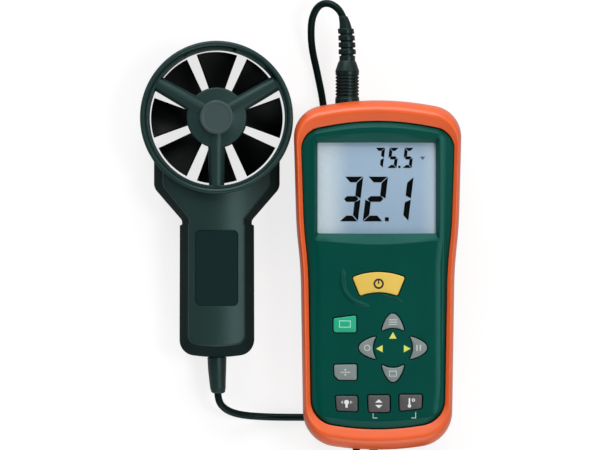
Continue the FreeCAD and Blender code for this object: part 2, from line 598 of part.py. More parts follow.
def guard(label, base, hub_top, boss_top, spoke, turn, rim_high):
    """A hub on three spokes with a rim that seats in the duct; spoke is (width, height)."""
    made = body(label, PROBE, lift=base, turn=turn)
    hub, boss, shaft = size("guard_hub"), size("boss_radius"), size("shaft_radius")
    inner = size("duct_inner")
    sign = 1 if hub_top > 0 else -1
    turned(made, "hub", [(1.6, 0), (hub, 0), (hub, sign * (abs(hub_top) - 0.8)),
                         (hub - 0.8, hub_top), (boss, hub_top), (boss, boss_top - sign * 0.6),
                         (boss - 0.6, boss_top), (0, boss_top), (0, hub_top - sign * 0.2),
                         (1.6, hub_top - sign * 0.2)])
    turned(made, "rim", [(inner - 0.3, 0), (inner + 1.35, 0), (inner + 1.35, sign * rim_high),
                         (inner - 0.3, sign * rim_high)])
    width, high = spoke
    half = width / 2
    profile = [Part.LineSegment(Vector(-half, 0, 0), Vector(half, 0, 0)),
               Part.LineSegment(Vector(half, 0, 0), Vector(half, sign * (high - half), 0)),
               Part.Arc(Vector(half, sign * (high - half), 0), Vector(0, sign * high, 0),
                        Vector(-half, sign * (high - half), 0)),
               Part.LineSegment(Vector(-half, sign * (high - half), 0), Vector(-half, 0, 0))]
    arm = pad(made, "spoke", profile, size("guard_hub") - 1.5, inner + 0.2, role="YZ_Plane")
    polar(made, "spokes", [arm], 3)


def impeller():
    """Eight twisted blades on a hub: each a skin through thin cambered sections that widen and lie
    flatter towards the tip, so that the gaps between blades stay the same width."""
    made = body("impeller", PROBE, lift=size("fan_z"))
    hub, deep = size("hub_radius"), size("blade_deep")
    half = deep / 2
    turned(made, "hub", [(1.05, -half - 0.6), (hub - 2, -half - 0.6), (hub, -half + 1.2), (hub, half - 1.2),
                         (hub - 2, half + 0.6), (1.05, half + 0.6)])
    levels = []
    thick = size("blade_thick") / 2
    for radius in (hub - 1.0, 16.0, 21.0, 26.5, size("tip_radius") + 1.5):
        width = 2 * math.pi * radius / 8 - size("blade_gap")
        along = Vector(width, deep, 0).normalize()
        across = Vector(-along.y, along.x, 0)
        low, high = Vector(-width / 2, -half, 0) + along, Vector(width / 2, half, 0) - along
        camber = across * (size("blade_camber") * width)
        levels.append(([
            Part.LineSegment(low - across * thick, low + across * thick),
            Part.Arc(low + across * thick, camber + across * thick, high + across * thick),
            Part.LineSegment(high + across * thick, high - across * thick),
            Part.Arc(high - across * thick, camber - across * thick, low - across * thick),
        ], radius))
    blade = loft(made, "blade", levels, role="YZ_Plane")
    polar(made, "blades", [blade], 8)
    tip = size("tip_radius")
    turned(made, "tip_trim", [(tip, -20), (tip + 12, -20), (tip + 12, 20), (tip, 20)], cut=True)
    shaft = body("impeller_shaft", PROBE, lift=4.0)
    rod(shaft, "shaft", "shaft_radius", 24, (0, 0, 0))
    rod(shaft, "collar", "shaft_radius + 0.05", 13.6, (0, 0, 5.2))
    for label, low in (("front_bearing", 25.7), ("rear_bearing", 2.7)):
        bush = body(label, PROBE, lift=low)
        turned(bush, "bush", [(1.04, 0), (1.6, 0), (1.6, 3.2), (1.04, 3.2)])


# ---------------------------------------------------------------- cord and plug
PROBE_RUN = [
    (-39.6, -71.0, 14.0), (-39.4, -74.9, 13.2), (-36.8, -78.6, 11.2), (-32.4, -81.0, 8.4),
    (-26.0, -82.4, 5.2), (-18.0, -83.0, 2.6), (-9.0, -83.3, 1.75), (4.0, -83.3, 1.75),
    (11.5, -83.8, 1.75), (19.0, -86.0, 1.75), (24.6, -90.8, 1.75), (27.4, -97.6, 1.75),
    (27.6, -105.6, 1.75), (25.6, -116.0, 1.75), (23.9, -129.0, 1.75),
]
METER_RUN = [
    (58.0, -108.0, 5.25), (50.5, -105.9, 4.2), (43.0, -104.6, 2.2), (37.2, -101.6, 1.75),
    (33.4, -96.0, 1.75), (31.0, -88.6, 1.75), (28.2, -79.0, 1.75), (24.0, -67.5, 1.75), (18.8, -56.0, 1.75),
    (14.6, -44.5, 1.75), (12.6, -31.0, 1.75), (12.1, -10.0, 1.75), (12.6, 20.0, 1.75), (12.6, 50.0, 1.75),
    (11.5, 68.0, 2.0), (8.2, 84.0, 3.6), (5.7, 94.8, 7.4), (5.2, 103.5, 11.2), (5.9, 110.2, 14.4),
    (9.2, 115.9, 17.4), (14.8, 116.6, 19.8), (20.6, 111.6, 21.4), (22.0, 104.6, 22.0),
]


def tube(label, points):
    """A cord of straight runs joined by tangent arcs, each as large as its two runs allow."""
    places = [Vector(*point) for point in points]
    edges, radii, start = [], [], places[0]
    for before, here, after in zip(places, places[1:], places[2:]):
        back, ahead = before - here, after - here
        turn = math.pi - back.getAngle(ahead)
        reach = 0.45 * min(back.Length, ahead.Length)
        radius = reach / math.tan(turn / 2)
        radii.append(radius)
        back.normalize()
        ahead.normalize()
        middle = here + (back + ahead).normalize() * (radius / math.cos(turn / 2) - radius)
        edges.append(Part.LineSegment(start, here + back * reach))
        edges.append(Part.Arc(here + back * reach, middle, here + ahead * reach))
        start = here + ahead * reach
    edges.append(Part.LineSegment(start, places[-1]))
    path = Part.Wire([edge.toShape() for edge in edges])
    radius = size("cord_thick") / 2
    section = Part.Wire([Part.Circle(places[0], places[1] - places[0], radius).toShape()])
    made = doc.addObject("Part::Feature", label)
    made.Label = label
    made.Shape = path.makePipeShell([section], True, False)
    made.Placement = Placement()
    parts.append(made)
    expected = math.pi * radius ** 2 * path.Length
    print(f"{label}: {path.Length:.0f} mm, volume {made.Shape.Volume / expected:.3f} of section x length,",
          "radii", " ".join(f"{value:.0f}" for value in radii))
    return path.Length


def coil_and_tie():
    """The put-away length as one closed ring, and the strap round it."""
    where = ("coil_x", "coil_y")
    inner, outer, high = size("coil_inner"), size("coil_outer"), size("coil_high")
    coil = body("cord_coil", where)
    turned(coil, "ring", [(inner, 0.8), (inner + 0.8, 0), (outer - 0.8, 0), (outer, 0.8),
                          (outer, high - 2.2), (outer - 2.0, high), (inner + 2.0, high), (inner, high - 2.2)])
    tie = body("coil_tie", where)
    middle = -(inner + outer) / 2
    reach = (outer - inner) / 2
    low, top = middle - reach, middle + reach + 1.0
    band = [(low - 0.9, 0), (top + 0.9, 0), (top + 0.9, high + 0.9), (low - 0.9, high + 0.9)]
    room = [(low, 0.8), (top, 0.8), (top, high), (low, high)]
    pad(tie, "band", polygon(*band), -4, 4, role="YZ_Plane")
    pad(tie, "band_room", polygon(*room), -5, 5, cut=True, role="YZ_Plane")
    block(coil, "strap_notch", (-4, low - 1, -0.1), (4, top + 1, 0.8), cut=True)


def plug():
    """Moulded plug with finger ribs, its segmented bend relief, metal nose and contact pins."""
    where = ("meter_x + plug_x", "0")
    lift = size("plug_z")
    grip = body("plug_body", where, lift=lift)
    r = size("plug_radius")
    profile = [(0, 66.0), (4.4, 66.0), (4.4, 68.9), (r + 0.15, 68.9), (r + 0.15, 70.4), (r, 70.6)]
    for i in range(6):
        y = 71.4 + 1.7 * i
        profile += [(r, y), (r - 0.45, y + 0.25), (r - 0.45, y + 0.65), (r, y + 0.9)]
    profile += [(r, 82.6), (r + 0.1, 83.6), (4.3, 88.0), (3.8, 88.6), (3.8, 91.0), (0, 91.0)]
    turned(grip, "grip", profile, along="y")
    relief = body("plug_relief", where, lift=lift)
    ribs = [(0, 91.0), (3.0, 91.0)]
    for i in range(4):
        y = 91.7 + 3.3 * i
        ribs += [(3.0, y), (4.15 - 0.1 * i, y + 0.2), (4.1 - 0.1 * i, y + 2.4), (3.0, y + 2.6)]
    ribs += [(2.6, 104.6), (0, 104.6)]
    turned(relief, "ribs", ribs, along="y")
    nose = body("plug_shell", where, lift=lift)
    turned(nose, "nose", [(4.1, 57.0), (4.5, 57.0), (4.5, 68.9), (4.4, 68.9), (4.4, 66.0), (4.1, 66.0)],
           along="y")
    pins = body("plug_pins", where, lift=lift)
    for i in range(4):
        lean = math.radians(45 + 90 * i)
        rod(pins, f"pin_{i}", 0.5, 7.5, (2.2 * math.cos(lean), 58.5, 2.2 * math.sin(lean)), ALONG_Y)


# ---------------------------------------------------------------- make, check and write
meter_boot()
front_cover()
rear_cover()
screws("case_screws", CASE_POSTS, 2.7, 1.5, size("case_back"), (2.2, 18.0))
display()
main_board()
screws("board_screws", BOARD_POSTS, 2.0, 1.0, size("board_back") - 1.4, (1.4, 4.6))
keypad()
socket_and_battery()
screws("battery_door_screw", [(0, -32.8)], 2.5, 1.2, size("case_back"), (1.0, 5.4))
stand_and_bush()
duct()
guard("front_guard", 25.5, 3.8, 6.3, (size("spoke_wide"), 5.0), 30, 4.6)
guard("rear_guard", 6.0, -3.6, -5.4, (5.0, 4.4), 30, 4.4)
impeller()
handle_shells()
screws("probe_screws", SCREW_ROWS, 2.3, 1.2, 0.7, (2.2, 14.0), PROBE)
plug()
lengths = [tube("cord_probe_run", PROBE_RUN), tube("cord_meter_run", METER_RUN)]
coil_and_tie()

doc.recompute()
for item in doc.Objects:
    if {"Invalid", "Error"} & set(item.State):
        raise RuntimeError(f"{item.Name} ({item.Label}) failed: {item.State}")
for item in parts:
    if item.Shape.isNull() or not item.Shape.isValid() or not item.Shape.Solids:
        raise RuntimeError(f"{item.Label} has no valid solid")

os.makedirs("parts", exist_ok=True)
for item in parts:
    item.Shape.exportStep(f"parts/{item.Label}.step")
print(f"{len(parts)} sub-parts written, cord runs {sum(lengths):.0f} mm")
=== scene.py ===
"""Finished surfaces for a handheld weather meter: the meter in its boot, the vane probe and their cord."""
import math

import bpy
import bmesh
import numpy as np
from mathutils.geometry import delaunay_2d_cdt
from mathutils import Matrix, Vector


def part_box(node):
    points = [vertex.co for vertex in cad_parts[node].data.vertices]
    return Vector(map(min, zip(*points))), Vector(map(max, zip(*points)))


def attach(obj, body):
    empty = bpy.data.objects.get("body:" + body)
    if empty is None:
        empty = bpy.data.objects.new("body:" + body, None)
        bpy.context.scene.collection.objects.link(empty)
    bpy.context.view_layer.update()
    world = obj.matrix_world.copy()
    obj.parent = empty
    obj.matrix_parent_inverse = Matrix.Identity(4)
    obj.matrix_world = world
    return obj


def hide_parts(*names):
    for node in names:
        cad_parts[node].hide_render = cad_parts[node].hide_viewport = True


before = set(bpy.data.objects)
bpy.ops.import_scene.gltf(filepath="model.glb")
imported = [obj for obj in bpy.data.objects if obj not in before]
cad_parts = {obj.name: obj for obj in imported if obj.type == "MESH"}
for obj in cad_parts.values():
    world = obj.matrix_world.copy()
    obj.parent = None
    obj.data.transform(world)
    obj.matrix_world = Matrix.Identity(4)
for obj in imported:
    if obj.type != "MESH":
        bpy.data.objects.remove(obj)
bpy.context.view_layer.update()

bl_info = {
    "name": "Weather meter",
    "version": (1, 0, 0),
    "blender": (4, 5, 0),
    "location": "3D View > Sidebar > Weather Meter",
    "description": "Dresses a handheld weather meter, its vane probe and its cord",
    "category": "Object",
}

MM = 0.001


def middle_of(node):
    """The middle of a frame node's box, in millimetres."""
    low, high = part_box(node)
    return np.array((low + high) / 2) / MM


METER = np.array([middle_of("meter_boot")[0], 0.0, 0.0])
PROBE = np.array([*middle_of("vane_duct")[:2], 0.0])
PLUG = np.array([middle_of("plug_body")[0], 0.0, middle_of("plug_body")[2]])
COIL = np.array([*middle_of("cord_coil")[:2], 0.0])
CASE_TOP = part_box("meter_boot")[1].z / MM
FACE_TOP, FACE_UNDER = 38.6, 34.3
HANDLE_TOP, LABEL_FLOOR = 28, 27.3
GREEN_SHEEN = (0.65, 1.0, 0.96, 1.0)


def shade(code):
    """A linear colour from a six-figure sRGB code."""
    value = np.array([int(code[i:i + 2], 16) for i in (0, 2, 4)]) / 255
    linear = np.where(value <= 0.04045, value / 12.92, ((value + 0.055) / 1.055) ** 2.4)
    return (*linear.tolist(), 1.0)


# ---------------------------------------------------------------- settings
def colour(name, code, description):
    return bpy.props.FloatVectorProperty(name=name, description=description, size=4, min=0, max=1,
                                         subtype="COLOR", default=shade(code))


def length(name, value, description):
    return bpy.props.FloatProperty(name=name, description=description, default=value * MM, min=0,
                                   precision=5, unit="LENGTH")


class WM_CaseSettings(bpy.types.PropertyGroup):
    boot: colour("Boot", "EE6430", "Colour of the rubber boot")
    case: colour("Case", "00453B", "Colour of the case")
    wall: length("Boot wall", 3.2, "Thickness of the boot along its flanks")
    crest: length("Crest", 1.8, "How far the boot's crest lies in from its flanks")
    lip: length("Lip", 3.6, "How far the boot's front opening lies in from its flanks")
    edge: length("Hole edge", 0.28, "Rounding of the holes in the face")


class WM_KeySettings(bpy.types.PropertyGroup):
    power: colour("Power key", "E6C254", "Colour of the power key")
    area: colour("Area key", "0AAA80", "Colour of the area key")
    grey: colour("Arrow keys", "7C8886", "Colour of the arrow and average keys")
    dark: colour("Lower keys", "4E4E4E", "Colour of the lower row of keys")
    crown: length("Crown", 0.22, "Height of the keys' domed tops")
    edge: length("Edge", 0.5, "Rounding of the keys' top edges")


class WM_DisplaySettings(bpy.types.PropertyGroup):
    cell: colour("Cell", "A9C4DC", "Colour of the display cell")
    ink: colour("Segments", "050708", "Colour of the dark segments")
    large: length("Large figures", 21.4, "Height of the large figures")
    small: length("Small figures", 9.7, "Height of the small figures")
    slant: bpy.props.FloatProperty(name="Slant", description="Lean of the figures", default=0.12)


class WM_ProbeSettings(bpy.types.PropertyGroup):
    shell: colour("Shell", "1F3331", "Colour of the probe's shells")
    boss: colour("Boss", "3E4C4C", "Colour of the hub's raised middle")
    label: colour("Label", "0C2625", "Colour of the blank label on the handle")
    blades: colour("Impeller", "0A0D0D", "Colour of the impeller")
    rim: length("Rim", 1.2, "Rounding of the duct's rims")


class WM_CordSettings(bpy.types.PropertyGroup):
    jacket: colour("Cord", "061816", "Colour of the cord")
    plug: colour("Plug", "131E1D", "Colour of the plug")
    thick: length("Thickness", 3.5, "Diameter of the cord")
    total: length("Length", 1180, "Length of the cord")


class WM_StageSettings(bpy.types.PropertyGroup):
    floor: colour("Floor", "8E8E8E", "Colour of the floor where light falls on it")
    distance: length("Camera distance", 3000, "Camera's height above the object's upper faces")
    across: length("Field", 288, "Width seen at the object's upper faces")


# ---------------------------------------------------------------- shader sums
class Wire:
    """A socket that takes part in sums: each operator adds the Math node that does it."""

    def __init__(self, nodes, socket):
        self.nodes, self.socket = nodes, socket

    def maths(self, operation, *values):
        return self.nodes.node("ShaderNodeMath", {"operation": operation}, dict(enumerate(values)))

    def __add__(self, other):
        return self.maths("ADD", self, other)

    def __sub__(self, other):
        return self.maths("SUBTRACT", self, other)

    def __mul__(self, other):
        return self.maths("MULTIPLY", self, other)

    def __abs__(self):
        return self.maths("ABSOLUTE", self)

    def __or__(self, other):
        """The larger of two values: the union of two masks."""
        return self.maths("MAXIMUM", self, other)

    def __and__(self, other):
        """The smaller of two values: what two masks share."""
        return self.maths("MINIMUM", self, other)

    def root(self):
        return self.maths("SQRT", self)

    def fade(self, low, high, start=0.0, end=1.0):
        """A smooth step from start, below low, to end, above high."""
        return self.nodes.node("ShaderNodeMapRange", {"interpolation_type": "SMOOTHSTEP"},
                               {"Value": self, "From Min": low, "From Max": high,
                                "To Min": start, "To Max": end})

    def under(self, limit, soft=0.05):
        """One where the value is under the limit, and nothing above it."""
        return self.fade(limit - soft, limit + soft, 1.0, 0.0)


class Nodes:
    """The node tree of a material or a world, empty at first."""

    def __init__(self, owner):
        owner.use_nodes = True
        self.tree = owner.node_tree
        self.tree.nodes.clear()

    def node(self, kind, settings=(), sockets=(), out=0):
        """Any node: its settings first, then the values or links of its sockets."""
        made = self.tree.nodes.new(kind)
        for key, value in dict(settings).items():
            setattr(made, key, value)
        for key, value in dict(sockets).items():
            self.feed(made.inputs[key], value)
        return Wire(self, made.outputs[out])

    def feed(self, socket, value):
        """A value or a link for a socket."""
        if isinstance(value, Wire):
            self.tree.links.new(value.socket, socket)
        else:
            socket.default_value = value

    def split(self, vector):
        """A vector's three numbers."""
        parts = self.node("ShaderNodeSeparateXYZ", sockets={0: vector}).socket.node.outputs
        return [Wire(self, part) for part in parts]

    def end(self, kind, shader):
        """The tree's last node, of a kind, with its surface from a shader."""
        self.feed(self.tree.nodes.new(kind).inputs["Surface"], shader)


class Finish(Nodes):
    """One material. Numbers that hold everywhere go on the shader's own sockets."""

    def __init__(self, name, **constants):
        self.name = name
        self.material = bpy.data.materials.new(name)
        super().__init__(self.material)
        shader = self.node("ShaderNodeBsdfPrincipled")
        self.inputs = shader.socket.node.inputs
        self.end("ShaderNodeOutputMaterial", shader)
        for socket, value in constants.items():
            self.set(socket.replace("_", " ").title().replace("Ior", "IOR"), value)

    def set(self, socket, value):
        self.feed(self.inputs[socket], value)

    def place(self):
        """Object coordinates in metres."""
        return self.node("ShaderNodeTexCoord", out="Object")

    def axes(self, origin):
        """Object coordinates as three numbers in millimetres from an origin."""
        return [part * (1 / MM) - float(start) for part, start in zip(self.split(self.place()), origin)]

    def noise(self, scale, detail, rough=0.55):
        """Seamless noise; the scale is in waves per metre."""
        return self.node("ShaderNodeTexNoise", sockets={"Vector": self.place(), "Scale": scale,
                                                        "Detail": detail, "Roughness": rough})

    def mix(self, amount, first, second):
        """The second colour over the first by an amount."""
        return self.node("ShaderNodeMix", {"data_type": "RGBA"}, {0: amount, 6: first, 7: second}, out=2)

    def bump(self, height, distance, below=None):
        """Height times a distance in millimetres, as a normal, over the normal below if there is one."""
        normal = {"Normal": below} if below else {}
        return self.node("ShaderNodeBump", sockets={"Height": height, "Distance": distance * MM, **normal})


def tint(value, amount):
    """A colour made lighter, or darker where the amount is below one."""
    return (*[min(1.0, channel * amount) for channel in value[:3]], 1.0)


def moulded(name, base, roughness, grain=0.03, scale=2600, spread=0.06, **constants):
    """Moulded plastic or rubber: slow drift of tone, fine skin grain in roughness and relief."""
    finish = Finish(name, **constants)
    drift = finish.noise(38, 2.0)
    fine = finish.noise(scale, 2.0, 0.6)
    finish.tone = finish.mix(drift.fade(0.3, 0.7), tint(base, 1 - spread), tint(base, 1 + spread))
    finish.height = fine
    finish.set("Base Color", finish.tone)
    finish.set("Roughness", fine * 0.1 + (roughness - 0.05))
    finish.set("Normal", finish.bump(fine, grain))
    return finish


def metal(name, base, roughness):
    """Plated metal with faint drawn lines."""
    finish = Finish(name, metallic=1.0)
    lines = finish.noise(900, 4.0, 0.7)
    finish.set("Base Color", finish.mix(lines, tint(base, 0.9), tint(base, 1.05)))
    finish.set("Roughness", lines * 0.2 + (roughness - 0.1))
    finish.set("Normal", finish.bump(lines, 0.006))
    return finish


# ---------------------------------------------------------------- outlines, as arrays of points
def unit(vectors):
    return vectors / np.linalg.norm(vectors, axis=-1, keepdims=True)


def rounded(corners, steps=12, runs=2):
    """A closed outline from corners (x, y, radius). Each corner is an arc about the point on its
    bisector that lies a radius from both sides; runs points divide each straight run."""
    corners = np.asarray(corners, float)
    place, radius = corners[:, :2], corners[:, 2:]
    before = unit(np.roll(place, 1, 0) - place)
    after = unit(np.roll(place, -1, 0) - place)
    half = np.arccos(np.clip((before * after).sum(1, keepdims=True), -1, 1)) / 2
    centre = place + unit(before + after) * radius / np.sin(half)
    start = place + before * radius / np.tan(half)
    end = place + after * radius / np.tan(half)
    turn = np.pi - 2 * half
    t = np.linspace(0, 1, steps)[None, :, None]
    swing = turn[:, :, None]
    arcs = centre[:, None] + (np.sin((1 - t) * swing) * (start - centre)[:, None]
                              + np.sin(t * swing) * (end - centre)[:, None]) / np.sin(swing)
    s = np.linspace(0, 1, runs + 2)[None, 1:-1, None]
    following = np.roll(start, -1, 0)[:, None]
    straight = end[:, None] * (1 - s) + following * s
    return np.concatenate([arcs, straight], 1).reshape(-1, 2)


def mirrored(top, right, bottom, **sampling):
    """A closed outline from its right half."""
    left = [(-x, y, radius) for x, y, radius in reversed(right)]
    return rounded([top, *right, bottom, *left], **sampling)[::-1]


def tablet(left, low, right, high, radius, **sampling):
    """A rectangle with rounded corners."""
    return rounded([(left, low, radius), (right, low, radius), (right, high, radius),
                    (left, high, radius)], **sampling)


def case_outline(side, end):
    """The boot's outside outline, drawn in by side off each flank and by end off each end."""
    soften = (side + end) / 3
    crown = 140 - 5 * side
    right = [(40.5 - side, 64.6 - end, 15 - soften), (39 - side, 9, 200), (36.9 - side, -11, 200),
             (35.6 - side, end - 94.4, 17 - soften)]
    return mirrored((0, 71.5 - end, crown), right, (0, end - 99.4, crown))


def face_outline(inset):
    """The flat of the case's face."""
    right = [(31.8 - inset, 53.0 - inset, 2.6 - inset), (31.7 - inset, 9, 200), (31.3 - inset, -11, 200),
             (31.0 - inset, inset - 81, 8 - inset)]
    return mirrored((0, 58.2 - inset, 140), right, (0, inset - 85.3, 140))


def even(line, count):
    """The closed line with its points spread evenly along it, anticlockwise."""
    closed = np.vstack([line, line[:1]])
    along = np.concatenate([[0], np.cumsum(np.linalg.norm(np.diff(closed, axis=0), axis=1))])
    keep = np.concatenate([[True], np.diff(along) > 1e-9])
    wanted = np.linspace(0, along[-1], count, endpoint=False)
    spread = np.stack([np.interp(wanted, along[keep], closed[keep, i]) for i in (0, 1)], 1)
    x, y = spread.T
    area = (x * np.roll(y, -1) - y * np.roll(x, -1)).sum()
    return spread if area > 0 else spread[::-1]


def softened(line):
    """Each point averaged with its neighbours, weights 1 2 3 2 1, twice."""
    for _ in range(2):
        line = sum(np.roll(line, i, 0) * (3 - abs(i)) for i in (-2, -1, 0, 1, 2)) / 9
    return line


def grown(line, by):
    """An anticlockwise line moved outwards along its normals."""
    along = unit(np.roll(line, -1, 0) - np.roll(line, 1, 0))
    return line + np.stack([along[:, 1], -along[:, 0]], 1) * by


KEY_POINTS, KEY_CORNER = 96, 0.9


def sector_line(x, y, inner, outer, half_angle, parts=8):
    """A piece of a ring about (x, y): corners on both arcs, rounded by the arcs' own radii."""
    lean = np.radians(np.linspace(half_angle, -half_angle, parts + 1))
    rows = []
    for arc, angles in ((outer, lean), (inner, lean[::-1])):
        radii = np.full(parts + 1, arc * 0.99)
        radii[[0, -1]] = KEY_CORNER
        rows.append(np.stack([x + arc * np.sin(angles), y + arc * np.cos(angles), radii], 1))
    return rounded(np.vstack(rows), steps=5, runs=0)


def petal_line(direction):
    """An arrow key: a hollow inner side on a circle, and sides that close to a round tip as the
    square root of what is left of the reach."""
    across = np.linspace(np.pi / 2, -np.pi / 2, 60)
    reach = np.cos(across)
    width = 5.45 * np.sqrt(np.clip(1 - reach ** 1.19, 0, 1)) * np.sign(across)
    outer = np.stack([8.0 + 8.4 * reach, -width], 1)
    angles = np.radians(np.linspace(33, -33, 24))
    inner = np.stack([9.6 * np.cos(angles), 9.6 * np.sin(angles)], 1)
    line = np.vstack([outer, inner])
    turn = math.radians(direction)
    turned_line = line @ np.array([[math.cos(turn), math.sin(turn)], [-math.sin(turn), math.cos(turn)]])
    return softened(even(turned_line, KEY_POINTS)) + (7.2, -49.0)


def polygon_line(*corners):
    return rounded([(x, y, KEY_CORNER) for x, y in corners], steps=7, runs=8)


KEY_LINES = {
    "power_key": sector_line(0.4, -46.0, 23.6, 33.2, 22.3),
    "area_key": polygon_line((-21.2, -41.6), (-10.3, -41.6), (-10.3, -33.5), (-21.2, -34.9)),
    "average_key": polygon_line((-18.9, -64.3), (-10.1, -64.4), (-10.1, -56.9), (-21.0, -57.1),
                                (-20.8, -62.2)),
    "light_key": polygon_line((-19.6, -78.9), (-9.7, -79.4), (-9.7, -72.0), (-20.3, -72.0)),
    "max_min_key": polygon_line((-4.4, -79.7), (5.7, -79.7), (5.7, -71.7), (-4.8, -71.7)),
    "temperature_key": polygon_line((10.4, -79.2), (20.9, -77.8), (21.2, -71.4), (10.2, -71.4)),
    "right_key": petal_line(0),
    "up_key": petal_line(90),
    "left_key": petal_line(180),
    "down_key": petal_line(270),
}
KEY_LINES = {key: even(line, KEY_POINTS) for key, line in KEY_LINES.items()}


def saddle(line, radius=36.4):
    """The handle's line cut back to the ring: no point stands higher than the circle about the vane."""
    line = line.copy()
    line[:, 1] = np.minimum(line[:, 1], -np.sqrt(np.maximum(0, radius ** 2 - line[:, 0] ** 2)))
    return line


def handle_outline(inset):
    """The handle's outline: shoulders, taper, a notch above the grip and a rounded end."""
    shoulder, half = 30.2 - inset, 17.8 - inset
    neck = half - 1.1
    right = [(shoulder, -16, 1.0), (shoulder, -33.8 - inset * 0.4, 6), (neck, -49.4 - inset * 0.4, 3),
             (neck, -51.3, 0.3), (half, -51.8, 0.4), (half + 0.15, inset - 113.4, 7.5)]
    return mirrored((0, -15.9, 100), right, (0, inset - 115.9, 80), steps=10, runs=12)


def handle_facet(extra):
    """The raised flat on the handle, flared towards the ring."""
    shoulder, half = 25.5 + extra, 13.3 + extra
    neck = half - 0.4
    right = [(shoulder, -16, 1.0), (shoulder, -32.8, 6), (neck, -48.6, 3), (neck, -51.3, 0.3),
             (half, -51.6, 0.4), (half + 0.1, -107.9 - extra, 4)]
    return mirrored((0, -15.9, 100), right, (0, -110.2 - extra, 55), steps=10, runs=12)


# ---------------------------------------------------------------- surfaces
def lift(line, z):
    """An outline at a height."""
    return np.column_stack([line, np.full(len(line), float(z))])


def skin(rings, joined=False, low_cap=True, high_cap=True):
    """A grid of rings as points and faces: quads between neighbouring rings, the last joined to the
    first where asked, or both ends closed with one face."""
    rings = np.asarray(rings, float)
    rows, count = rings.shape[:2]
    index = np.arange(rows * count).reshape(rows, count)
    if joined:
        index = np.vstack([index, index[:1]])
    a, b = index[:-1], index[1:]
    quads = np.stack([a, np.roll(a, -1, 1), np.roll(b, -1, 1), b], -1).reshape(-1, 4).tolist()
    if not joined and low_cap:
        quads.append(index[0][::-1].tolist())
    if not joined and high_cap:
        quads.append(index[-1].tolist())
    return rings.reshape(-1, 3), quads


def gathered(*shells):
    """Several sets of points and faces as one."""
    points, faces, start = [], [], 0
    for shell_points, shell_faces in shells:
        points.append(shell_points)
        faces += [[start + i for i in face] for face in shell_faces]
        start += len(shell_points)
    return np.vstack(points), faces


def turned(profile, centre, along="z", steps=128, joined=True):
    """A profile of (radius, distance) points turned about an axis: each point becomes a circle."""
    profile = np.asarray(profile, float)
    angle = np.linspace(0, 2 * np.pi, steps, endpoint=False)
    radius, distance = profile[:, :1], profile[:, 1:]
    level = np.broadcast_to(distance, (len(profile), steps))
    flat = (radius * np.cos(angle), radius * np.sin(angle), level)
    if along == "y":
        flat = (flat[0], level, -flat[1])
    return skin(np.stack(flat, -1) + centre, joined)


def slab(outline, low, high, edge=0.3, foot=0.0):
    """A plate: its outline carried up its side, over a quarter-round edge and onto its top."""
    lean = np.linspace(0, np.pi / 2, 5)
    rings = [lift(grown(outline, -foot), low)]
    if foot:
        rings.append(lift(outline, low + foot))
    rings += [lift(grown(outline, edge * (np.cos(t) - 1)), high - edge + edge * np.sin(t)) for t in lean]
    rings.append(lift(grown(outline, -edge - 0.06), high))
    return skin(rings)


def crossings(points, loop):
    """Whether each point lies inside a closed loop: an odd count of sides crossed going right."""
    x, y = points[:, :1], points[:, 1:2]
    ax, ay = loop.T
    bx, by = np.roll(loop, -1, 0).T
    spans = (ay > y) != (by > y)
    with np.errstate(divide="ignore", invalid="ignore"):
        at = ax + (y - ay) * (bx - ax) / (by - ay)
    return (spans & (x < at)).sum(1) % 2 == 1


def sheet_between(loops):
    """Triangles between an outer loop and the loops of its holes, as indices into all their points."""
    points = np.vstack(loops)
    sizes = [len(loop) for loop in loops]
    starts = np.concatenate([[0], np.cumsum(sizes)[:-1]])
    edges = np.vstack([np.stack([start + np.arange(n), start + (np.arange(n) + 1) % n], 1)
                       for start, n in zip(starts, sizes)])
    found = delaunay_2d_cdt([tuple(p) for p in points], edges.tolist(), [], 1, 1e-6)
    if not all(found[3]):
        raise ValueError("two outlines cross")
    source = np.array([origin[0] for origin in found[3]])
    triangles = source[np.array([face for face in found[2] if len(face) == 3])]
    centres = points[triangles].mean(1)
    keep = crossings(centres, loops[0])
    for hole in loops[1:]:
        keep &= ~crossings(centres, hole)
    return triangles[keep]


def pierced(outer, holes, blind=()):
    """A solid plate: outer rings and hole rings run from its top face to its underside, blind ones to
    a floor of their own. The faces between the first rings, and between the last, are triangulated."""
    walls, through = [outer, *holes, *blind], len(holes) + 1
    points, faces = gathered(*[skin(rings, low_cap=False, high_cap=i >= through)
                               for i, rings in enumerate(walls)])
    first, last, start = [], [], 0
    for rings in walls:
        count = len(rings[0])
        first.append(start + np.arange(count))
        start += len(rings) * count
        last.append(start - count + np.arange(count))
    for rows, level in ((first, 0), (last[:through], -1)):
        triangles = sheet_between([rings[level][:, :2] for rings in walls[:len(rows)]])
        faces += np.concatenate(rows)[triangles].tolist()
    return points, faces


def piece(name, shell, finish, at=(0, 0, 0), body="root", nodes=(), sharp=35):
    """A finished mesh from faces and points in millimetres from a place: merged, facing outwards,
    smooth up to an angle, riding on a body and standing for its frame nodes."""
    points, faces = shell
    mesh = bpy.data.meshes.new(name)
    mesh.from_pydata(((points + np.array(at)) * MM).tolist(), [], faces)
    work = bmesh.new()
    work.from_mesh(mesh)
    bmesh.ops.remove_doubles(work, verts=work.verts, dist=1e-6)
    bmesh.ops.dissolve_degenerate(work, edges=work.edges, dist=1e-8)
    bmesh.ops.recalc_face_normals(work, faces=work.faces)
    work.to_mesh(mesh)
    work.free()
    mesh.shade_smooth()
    mesh.set_sharp_from_angle(angle=math.radians(sharp))
    mesh.materials.append(finish.material)
    made = bpy.data.objects.new(name, mesh)
    bpy.context.scene.collection.objects.link(made)
    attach(made, body)
    if nodes:
        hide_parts(*nodes)
    return made


